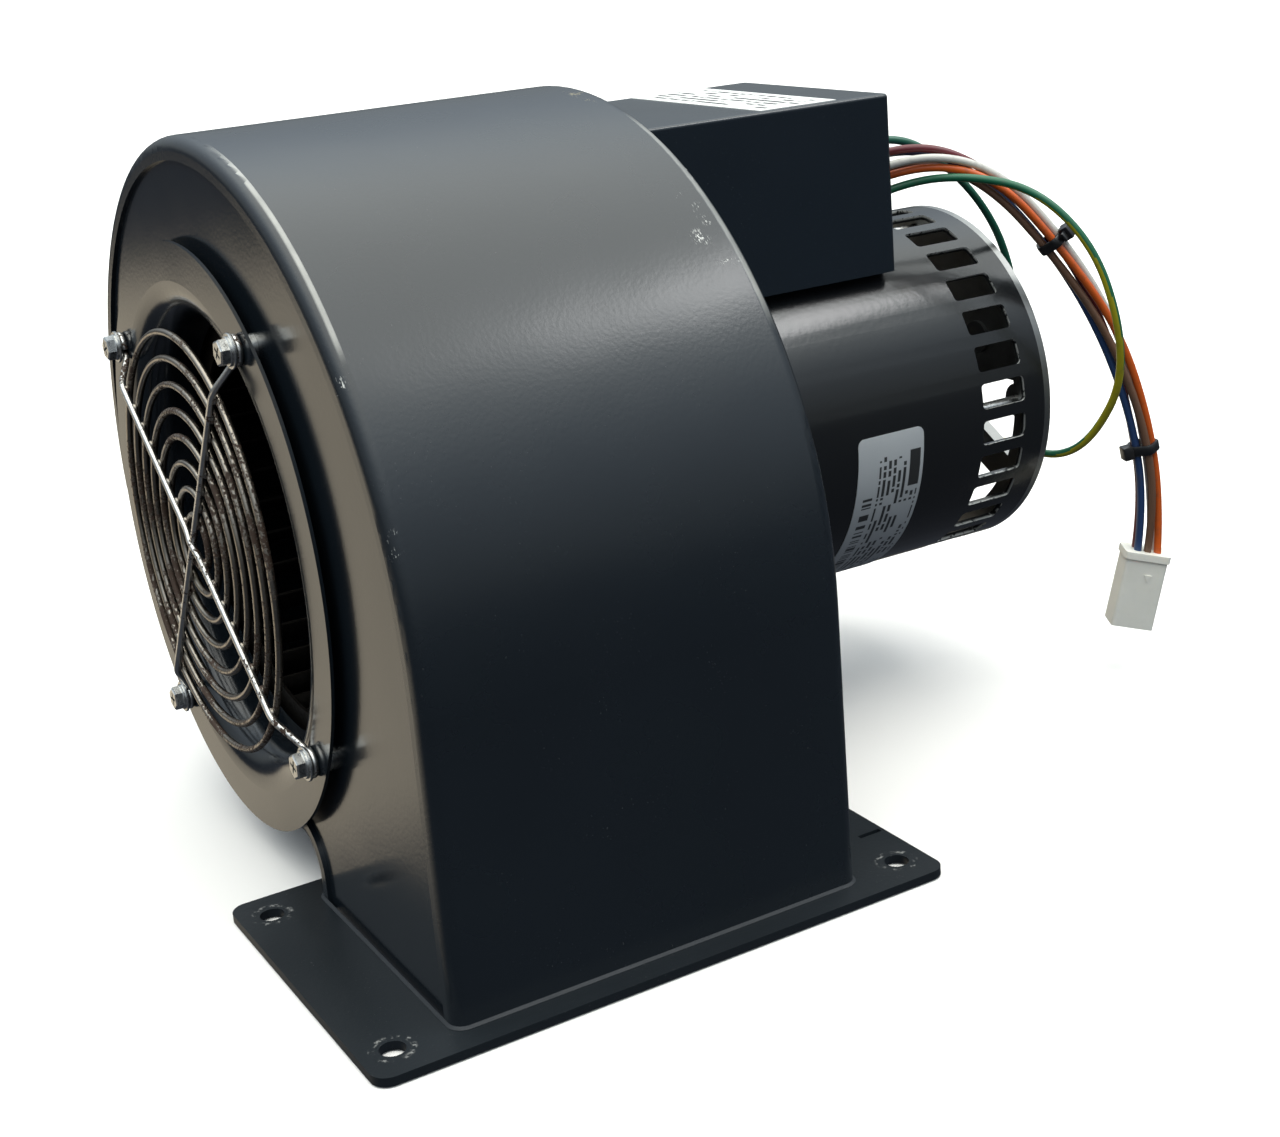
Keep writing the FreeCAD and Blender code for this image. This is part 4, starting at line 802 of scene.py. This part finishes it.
@dataclass
class FingerGuard(Assembly):
    """Eight wire rings, two crossing wires cranked back to eyelets, and a weld at every crossing."""

    wire: float = 1.25 * MM
    ring_radius: float = 75.0 * MM
    pitch: float = 9.3 * MM
    rings: int = 8
    ring_gap: float = 5.0 * MM
    knee: float = 78.0 * MM
    foot: float = 90.5 * MM
    eye: float = 4.15 * MM
    bend: float = 3.0 * MM
    over: float = 0.9 * MM
    sunk: float = 0.3 * MM
    cross: float = 6.0 * MM
    weld: float = 1.9 * MM
    weld_shape: Triple = (1.0, 0.7, 1.0)
    ring_grain: float = 2.4
    eye_turn: tuple[float, int] = (10.0, 34)

    def arm(self, mesh: Mesh, degrees: float, bow: float) -> None:
        """One wire from eyelet to eyelet, straight across the shaft axis.

        Args:
            mesh: the working mesh.
            degrees: the angle of one end.
            bow: how far its middle stands out, where the two wires cross.
        """
        high = inlet_face() - self.ring_gap - 2 * self.wire + self.sunk
        low = inlet_face() - self.wire
        half = [around(self.cross, degrees, high), around(self.knee, degrees, high),
                around(self.foot, degrees, low), around(SCREW_CIRCLE - self.eye, degrees, low)]
        other = [around(0.0, 0.0, high) * 2 - p for p in half]
        for point, twin in zip(half, other):
            twin.y = point.y
        middle = around(0.0, 0.0, high - bow)
        sweep(mesh, smooth_line([*reversed(other), middle, *half], self.bend), self.wire)
        step, count = self.eye_turn
        for end in (degrees, degrees + 180.0):
            shift = around(SCREW_CIRCLE, end, low) - around(0.0, 0.0, 0.0)
            loop = [around(self.eye, end + 180.0 + step * k, 0.0) + shift for k in range(count)]
            sweep(mesh, loop, self.wire)

    def build(self) -> None:
        """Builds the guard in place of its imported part."""
        mesh = bmesh.new()
        y = inlet_face() - self.ring_gap
        for k in range(self.rings):
            radius = self.ring_radius - self.pitch * k
            steps = max(36, int(radius / MM * self.ring_grain))
            sweep(mesh, [around(radius, 360.0 * n / steps, y) for n in range(steps)], self.wire, closed=True)
            for turn in SCREW_TURNS:
                spot = Matrix.LocRotScale(around(radius, turn, y - self.wire), None, self.weld_shape)
                bmesh.ops.create_icosphere(mesh, subdivisions=2, radius=self.weld, matrix=spot)
        rings = len(mesh.faces)
        self.arm(mesh, SCREW_TURNS[0], 0.0)
        self.arm(mesh, SCREW_TURNS[1], self.over)
        mesh.faces.ensure_lookup_table()
        for face in mesh.faces[rings:]:
            face.material_index = 1
        piece = object_from("Finger_Guard", mesh, [FINISHES["guard_wire"], ARM_WIRE])
        self.place(piece, "guard_wire", "finger_guard")


@dataclass
class GuardScrews(Assembly):
    """Four hexagon screws with a flanged washer, a spring washer and a cross recess."""

    seat_gap: float = 2.5 * MM
    washer: float = 6.0 * MM
    washer_height: float = 1.0 * MM
    collar: float = 4.9 * MM
    top: float = 1.8 * MM
    edge: float = 0.25 * MM
    flats: float = 8.0 * MM
    head: float = 3.0 * MM
    chamfer: float = 0.5 * MM
    crown: float = 0.15 * MM
    thread: float = 2.5 * MM
    length: float = 17.0 * MM
    point: float = 0.6 * MM
    recess: Triple = (5.0 * MM, 3.2 * MM, 1.0 * MM)
    recess_turn: float = 20.0
    turns: tuple[float, ...] = (17.0, 88.0, 159.0, 230.0)

    def head_mesh(self, mesh: Mesh, seat: Vector, turn: float) -> None:
        """Adds one chamfered hexagon head.

        Args:
            mesh: the working mesh.
            seat: the middle of its underside.
            turn: how far it is screwed round, in degrees.
        """
        corner = self.flats / math.sqrt(3.0)
        levels = ((corner, 0.0), (corner, self.head - self.chamfer),
                  (corner - self.chamfer, self.head - self.crown), (corner - 1.3 * self.chamfer, self.head))
        rings = [[mesh.verts.new(seat + Vector((radius * math.cos(a), -height, radius * math.sin(a))))
                  for a in (math.radians(turn + 60.0 * k) for k in range(6))] for radius, height in levels]
        for a, b in zip(rings, rings[1:]):
            bridge(mesh, a, b)
        mesh.faces.new(rings[0])
        mesh.faces.new(rings[-1])

    def cutter(self, seats: Iterable[tuple[Vector, float]]) -> Piece:
        """The crosses that are sunk into the heads.

        Args:
            seats: the middle of each head's underside and how far the head is turned.

        Returns:
            A piece that is used once and removed.
        """
        mesh = bmesh.new()
        for seat, turn in seats:
            for quarter in (0.0, 90.0):
                spin = Matrix.Rotation(math.radians(turn + quarter + self.recess_turn), 4, "Y")
                place = Matrix.Translation(seat - Vector((0.0, self.head, 0.0))) @ spin
                bmesh.ops.create_cube(mesh, size=1.0, matrix=place @ Matrix.Diagonal((*self.recess, 1.0)))
        return object_from("Recess_Tool", mesh, [], smooth=False)

    def build(self) -> None:
        """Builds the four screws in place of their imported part."""
        out = Vector((0.0, -1.0, 0.0))
        heads, plain = bmesh.new(), bmesh.new()
        seats = []
        for degrees, turn in zip(SCREW_TURNS, self.turns):
            place = around(SCREW_CIRCLE, degrees, inlet_face() - self.seat_gap)
            lathe(plain, [(0.0, 0.0), (self.washer - self.edge, 0.0), (self.washer, self.edge),
                          (self.washer, self.washer_height - self.edge),
                          (self.washer - self.edge, self.washer_height), (self.collar, self.washer_height),
                          (self.collar, self.top - self.edge), (self.collar - self.edge, self.top),
                          (0.0, self.top)], place, out)
            lathe(plain, [(0.0, 0.0), (self.thread, 0.0), (self.thread, self.length - self.point),
                          (self.thread - self.point, self.length), (0.0, self.length)], place, -out)
            seats.append((place + out * self.top, turn))
            self.head_mesh(heads, *seats[-1])
        piece = object_from("Guard_Screw_Heads", heads, [FINISHES["zinc_plate"]], smooth=False)
        tool = self.cutter(seats)
        cut = piece.modifiers.new("Recess", "BOOLEAN")
        cut.operation, cut.object, cut.solver, cut.use_self = "DIFFERENCE", tool, "EXACT", True
        finished = bpy.data.meshes.new_from_object(piece.evaluated_get(bpy.context.evaluated_depsgraph_get()))
        piece.modifiers.clear()
        piece.data = finished
        bpy.data.objects.remove(tool)
        self.place(piece, "zinc_plate", "guard_screws")
        self.place(object_from("Guard_Washers", plain, [FINISHES["zinc_plate"]]), "zinc_plate")


WIRE_DIAMETER = 3.2 * MM
ROUTES: dict[str, list[Triple]] = {
    "white": [(-76.5, 191, 215.5), (-67, 205.5, 222), (-54.5, 235.5, 213), (-41, 259, 180),
              (-33.5, 276.5, 146.5), (-30.5, 285.5, 108.5), (-28, 290, 72), (-27.5, 288, 48)],
    "orange": [(-80.5, 191, 210.5), (-70, 207.5, 217.5), (-52.5, 232.5, 210.5), (-39.5, 255, 178.5),
               (-30, 274, 146), (-26, 285.5, 109), (-23.5, 290, 72), (-23, 287.5, 48)],
    "tan": [(-86.5, 191, 212.5), (-74.5, 210, 219.5), (-55.5, 231.5, 207), (-43, 253.5, 176),
            (-31.5, 270, 144.5), (-24.5, 281.5, 108), (-22, 286, 72), (-25, 283.5, 48)],
    "blue": [(-86.5, 191, 219), (-74, 210, 225), (-59, 234, 208), (-46.5, 256, 176.5),
             (-35.5, 270, 143.5), (-28, 279, 107.5), (-25.5, 283, 72), (-27, 280, 48)],
    "maroon": [(-80, 191, 220.5), (-69.5, 207.5, 226.5), (-58.5, 236.5, 211.5), (-45, 259.5, 179),
               (-37, 274.5, 144.5), (-31.5, 281.5, 107.5), (-29, 285.5, 72), (-30.5, 282, 48)],
    "green": [(-84, 191, 226), (-81, 208, 228), (-75, 226, 214), (-70, 239, 198), (-70.5, 251, 178),
              (-70.5, 256.5, 154), (-70.2, 242.5, 143)],
    "earth": [(-78, 191, 205.5), (-74, 206, 210), (-55, 220, 212), (-35, 238, 206), (-20, 253, 183),
              (-14, 260, 152), (-18, 264, 126), (-31, 263, 105), (-43, 260, 94), (-55, 254, 92),
              (-63, 246.5, 97)],
}
PLUG_LEADS = ("white", "orange", "tan", "blue", "maroon")


@dataclass
class Tie:
    """Where one cable tie sits, which way the leads run there, and which side its head is on."""

    place: Vector
    axis: Vector
    head: float


@dataclass
class CableTies(Assembly):
    """Two nylon ties pulled tight round the five plug leads, each with its square head."""

    ties: tuple[Tie, ...] = (
        Tie(Vector((-0.0449, 0.2533, 0.1819)), Vector((0.293, 0.507, -0.811)), 300.0),
        Tie(Vector((-0.0271, 0.2841, 0.0947)), Vector((0.079, 0.137, -0.987)), 80.0))
    width: float = 4.0 * MM
    band: float = 1.1 * MM
    slack: float = 0.15 * MM
    section: tuple[Span, ...] = (
        (0.0, -0.5), (0.0, 0.5), (0.75, 0.5), (1.0, 0.38), (1.0, -0.38), (0.75, -0.5))
    head_size: Triple = (5.4 * MM, 4.2 * MM, 5.6 * MM)
    head_gap: float = 0.2 * MM
    tail: Triple = (3.24 * MM, 1.2 * MM, 3.6 * MM)
    tail_shift: float = 4.05 * MM
    edge: float = 0.5 * MM
    steps: int = 72
    nearness: float = 0.2
    across: Vector = field(default_factory=lambda: Vector((0.866, -0.5, 0.0)))

    def crossings(self, tie: Tie) -> list[Vector]:
        """Where each lead passes through the tie's plane."""
        return [min(wire_line(lead), key=lambda p: abs((p - tie.place).dot(tie.axis))
                    + self.nearness * (p - tie.place).length) for lead in PLUG_LEADS]

    def outermost(self, flat: list[Span], degrees: float) -> tuple[Span, Span]:
        """The direction at an angle round the leads, and the lead that lies farthest that way."""
        way = math.cos(math.radians(degrees)), math.sin(math.radians(degrees))
        return way, max(flat, key=lambda p: p[0] * way[0] + p[1] * way[1])

    def build(self) -> None:
        """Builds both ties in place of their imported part."""
        mesh = bmesh.new()
        reach = WIRE_DIAMETER / 2 + self.slack
        for tie in self.ties:
            axis = tie.axis.normalized()
            other = axis.cross(self.across).normalized()
            flat = [((p - tie.place).dot(self.across), (p - tie.place).dot(other))
                    for p in self.crossings(tie)]
            rows = []
            for n in range(self.steps):
                way, near = self.outermost(flat, 360.0 * n / self.steps)
                rows.append([])
                for out, along in self.section:
                    grown = reach + self.band * out
                    rows[-1].append(mesh.verts.new(
                        tie.place + self.across * (near[0] + way[0] * grown)
                        + other * (near[1] + way[1] * grown) + axis * self.width * along))
            for a, b in zip(rows, rows[1:] + rows[:1]):
                bridge(mesh, a, b)
            way, near = self.outermost(flat, tie.head)
            outward = self.across * way[0] + other * way[1]
            base = tie.place + self.across * near[0] + other * near[1] + outward * reach
            self.add_head(mesh, base, outward, axis)
        self.place(object_from("Cable_Ties", mesh, [FINISHES["tie_nylon"]]), "tie_nylon", "cable_ties")

    def add_head(self, mesh: Mesh, base: Vector, outward: Vector, axis: Vector) -> None:
        """Adds one tie's head and the cut end of its tail.

        Args:
            mesh: the working mesh.
            base: where the head stands on the band.
            outward: the way it stands out.
            axis: the way the leads run.
        """
        beside = axis.cross(outward)
        middle = base + outward * (self.head_size[1] / 2 + self.head_gap)
        turn = Matrix((beside, outward, axis)).transposed().to_4x4()
        for shift, size in ((0.0, self.head_size), (self.tail_shift, self.tail)):
            place = Matrix.Translation(middle + beside * shift) @ turn
            made = bmesh.ops.create_cube(mesh, size=1.0, matrix=place @ Matrix.Diagonal((*size, 1.0)))
            edges = {e for v in made["verts"] for e in v.link_edges}
            bmesh.ops.bevel(mesh, geom=list(edges), offset=min(self.edge, min(size) * 0.3), segments=2,
                            affect="EDGES", profile=0.5)


def wire_curve(name: str, colour: str) -> Piece:
    """One wire's line as a smooth curve through its route, with no thickness yet.

    Args:
        name: the curve's name.
        colour: the wire's colour, which picks its route.

    Returns:
        The curve object, linked to the scene.
    """
    data = bpy.data.curves.new(name, "CURVE")
    data.dimensions = "3D"
    spline = data.splines.new("NURBS")
    spline.points.add(len(ROUTES[colour]) - 1)
    for point, place in zip(spline.points, ROUTES[colour]):
        point.co = (*(Vector(place) * MM), 1.0)
    spline.order_u = 3
    spline.use_endpoint_u = True
    spline.resolution_u = 24
    piece = bpy.data.objects.new(name, data)
    bpy.context.scene.collection.objects.link(piece)
    return piece


def wire_line(colour: str) -> list[Vector]:
    """The points of one wire's smooth line."""
    line = wire_curve("Wire_Line", colour)
    graph = bpy.context.evaluated_depsgraph_get()
    mesh = bpy.data.meshes.new_from_object(line.evaluated_get(graph))
    points = [v.co.copy() for v in mesh.vertices]
    bpy.data.objects.remove(line)
    bpy.data.meshes.remove(mesh)
    return points


@dataclass
class Wiring(Assembly):
    """Seven wires on their own smooth lines."""

    earth_sides: int = 20
    earth_twist: float = 5.2
    earth_turned: float = 0.6

    def declare(self, piece: Piece, colour: str, path: Optional[list[Vector]] = None) -> None:
        """Puts a wire in place of its packed tube.

        Args:
            piece: the wire.
            colour: its colour, which names the packed tube it stands for.
            path: its middle line, if the piece is a mesh; not used.
        """
        self.place(piece, f"{colour}_insulation", f"{colour}_wire")

    def build(self) -> None:
        """Builds every wire."""
        for colour in ROUTES:
            if colour == "earth":
                self.two_colour(colour)
                continue
            line = wire_curve(f"{colour.title()}_Wire", colour)
            line.data.bevel_depth = WIRE_DIAMETER / 2
            line.data.bevel_resolution = 4
            line.data.use_fill_caps = True
            line.data.materials.append(FINISHES[f"{colour}_insulation"].material())
            self.declare(line, colour)

    def two_colour(self, colour: str) -> None:
        """The earth wire: a tube with a green half and a yellow half that twist along it."""
        points = wire_line(colour)

        def stripe(along: float, angle: float) -> int:
            """1 on the green half, 0 on the yellow half."""
            turn = (angle + self.earth_turned + self.earth_twist * along) % math.tau
            return 1 if turn < math.pi else 0

        mesh = bmesh.new()
        sweep(mesh, points, WIRE_DIAMETER / 2, self.earth_sides, stripe=stripe)
        piece = object_from("Earth_Wire", mesh, [FINISHES["earth_insulation"], EARTH_GREEN])
        self.declare(piece, colour, points)


# ---------------------------------------------------------------- studio
def heading(azimuth: float, elevation: float = 0.0) -> Vector:
    """The direction of an azimuth, from -Y towards +X, and an elevation, both in degrees."""
    turn, rise = math.radians(azimuth), math.radians(elevation)
    return Vector((math.sin(turn) * math.cos(rise), -math.cos(turn) * math.cos(rise), math.sin(rise)))


@dataclass
class Studio:
    """Pale floor, a broad soft sky, one bright strip and the camera."""

    target: Vector = field(default_factory=lambda: Vector((-0.110, 0.010, 0.200)))
    azimuth: float = 60.775
    elevation: float = 16.026
    roll: float = -4.583
    distance: float = 0.7269
    aside: Span = (0.08097, -0.06685)
    lens: float = 56.367
    sensor: float = 36.0
    shift: float = -0.0848
    nearest: float = 0.02
    floor_size: float = 30.0
    floor_drop: float = 0.0006
    floor_tones: tuple[Colour, Colour] = ((0.84, 0.81, 0.78), (0.87, 0.84, 0.81))
    sky_levels: Levels = (
        (0.0, (0.016, 0.018, 0.022)), (0.10, (0.085, 0.093, 0.095)), (0.33, (0.130, 0.148, 0.166)),
        (0.52, (0.235, 0.268, 0.298)), (0.71, (0.53, 0.58, 0.60)), (0.82, (0.80, 0.83, 0.81)),
        (1.0, (0.95, 0.97, 0.92)))
    sky_strength: float = 3.6
    bounce_azimuth: float = -72.0
    bounce_heights: tuple[Span, ...] = ((-0.46, 0.0), (-0.42, 1.0), (-0.175, 1.0), (-0.15, 0.0))
    bounce_spread: tuple[Span, ...] = ((0.30, 0.0), (0.70, 1.0), (1.0, 1.0))
    bounce_colour: Colour = (0.255, 0.226, 0.176)
    strip_direction: Span = (146.0, 48.5)
    strip_size: Span = (0.62, 0.30)
    strip_distance: float = 2.0
    strip_power: float = 5.8

    def floor(self) -> None:
        """A pale floor that doesn't colour the fan from below."""
        mesh = bmesh.new()
        bmesh.ops.create_grid(mesh, x_segments=1, y_segments=1, size=self.floor_size / 2)
        bmesh.ops.translate(mesh, verts=mesh.verts, vec=(0.0, 0.0, -self.floor_drop))
        look = Recipe("Studio_Floor")
        look.set(Base_Color=look.mottle(3.0, 2.0, *self.floor_tones), Roughness=0.9)
        piece = object_from("Studio_Floor", mesh, [], smooth=False)
        piece.data.materials.append(look.material)
        piece.visible_glossy = piece.visible_diffuse = piece.visible_shadow = False

    def sky(self) -> None:
        """Soft light that grows from the horizon to the zenith, with a warm bounce low on one side."""
        world = bpy.data.worlds.new("Studio_Sky")
        bpy.context.scene.world = world
        world.use_nodes = True
        graph = Graph(world.node_tree)
        place = graph.add("ShaderNodeTexCoord").outputs["Generated"]
        height = graph.split(place)[2]
        towards = graph.vector("DOT_PRODUCT", place, heading(self.bounce_azimuth), "Value")
        bounce = graph.product(self.band(graph, height, self.bounce_heights),
                               self.band(graph, towards, self.bounce_spread))
        light = graph.mix(bounce, graph.ramp(height, self.sky_levels), self.bounce_colour)
        for socket, value in zip(graph.tree.nodes["Background"].inputs, (light, self.sky_strength)):
            graph.feed(socket, value)

    def band(self, graph: Graph, value: Socket, levels: Sequence[Span]) -> Socket:
        """A curve through (input, output) levels, with inputs from -1 to 1."""
        moved = graph.add("ShaderNodeMapRange", {"Value": value, "From Min": -1.0}).outputs[0]
        return graph.ramp(moved, [((at + 1.0) / 2.0, (level,) * 3) for at, level in levels])

    def strip(self) -> None:
        """The bright strip that draws the long highlights."""
        way = heading(*self.strip_direction)
        data = bpy.data.lights.new("Key_Strip", "AREA")
        data.shape, data.size, data.size_y = "RECTANGLE", *self.strip_size
        data.energy = self.strip_power
        lamp = bpy.data.objects.new("Key_Strip", data)
        lamp.location = self.target + way * self.strip_distance
        lamp.rotation_mode = "QUATERNION"
        lamp.rotation_quaternion = way.to_track_quat("Z", "Y")
        bpy.context.scene.collection.objects.link(lamp)

    def camera(self) -> None:
        """The camera, at the fitted angle."""
        back = heading(self.azimuth, self.elevation)
        level = heading(self.azimuth + 90.0)
        upright = back.cross(level)
        roll = math.radians(self.roll)
        right = level * math.cos(roll) + upright * math.sin(roll)
        up = upright * math.cos(roll) - level * math.sin(roll)
        data = bpy.data.cameras.new("Studio_Camera")
        data.lens, data.sensor_width, data.shift_y = self.lens, self.sensor, self.shift
        data.clip_start = self.nearest
        camera = bpy.data.objects.new("Studio_Camera", data)
        camera.matrix_world = Matrix((right, up, back)).transposed().to_4x4()
        camera.location = self.target + back * self.distance + right * self.aside[0] + up * self.aside[1]
        bpy.context.scene.collection.objects.link(camera)
        bpy.context.scene.camera = camera

    def build(self) -> None:
        """Sets the stage."""
        for step in (self.camera, self.floor, self.sky, self.strip):
            step()
        bpy.context.scene.view_settings.view_transform = "Standard"


def main() -> None:
    """Builds the fan's looks in order, then the studio round it."""
    logging.basicConfig(level=logging.INFO, format="%(message)s")
    for kind in (PackedParts, CableTies, Wiring, ScrollHousing, FingerGuard, GuardScrews):
        LOG.info("%s:", kind.__name__)
        kind().build()
    Studio().build()


if __name__ == "__main__":
    main()
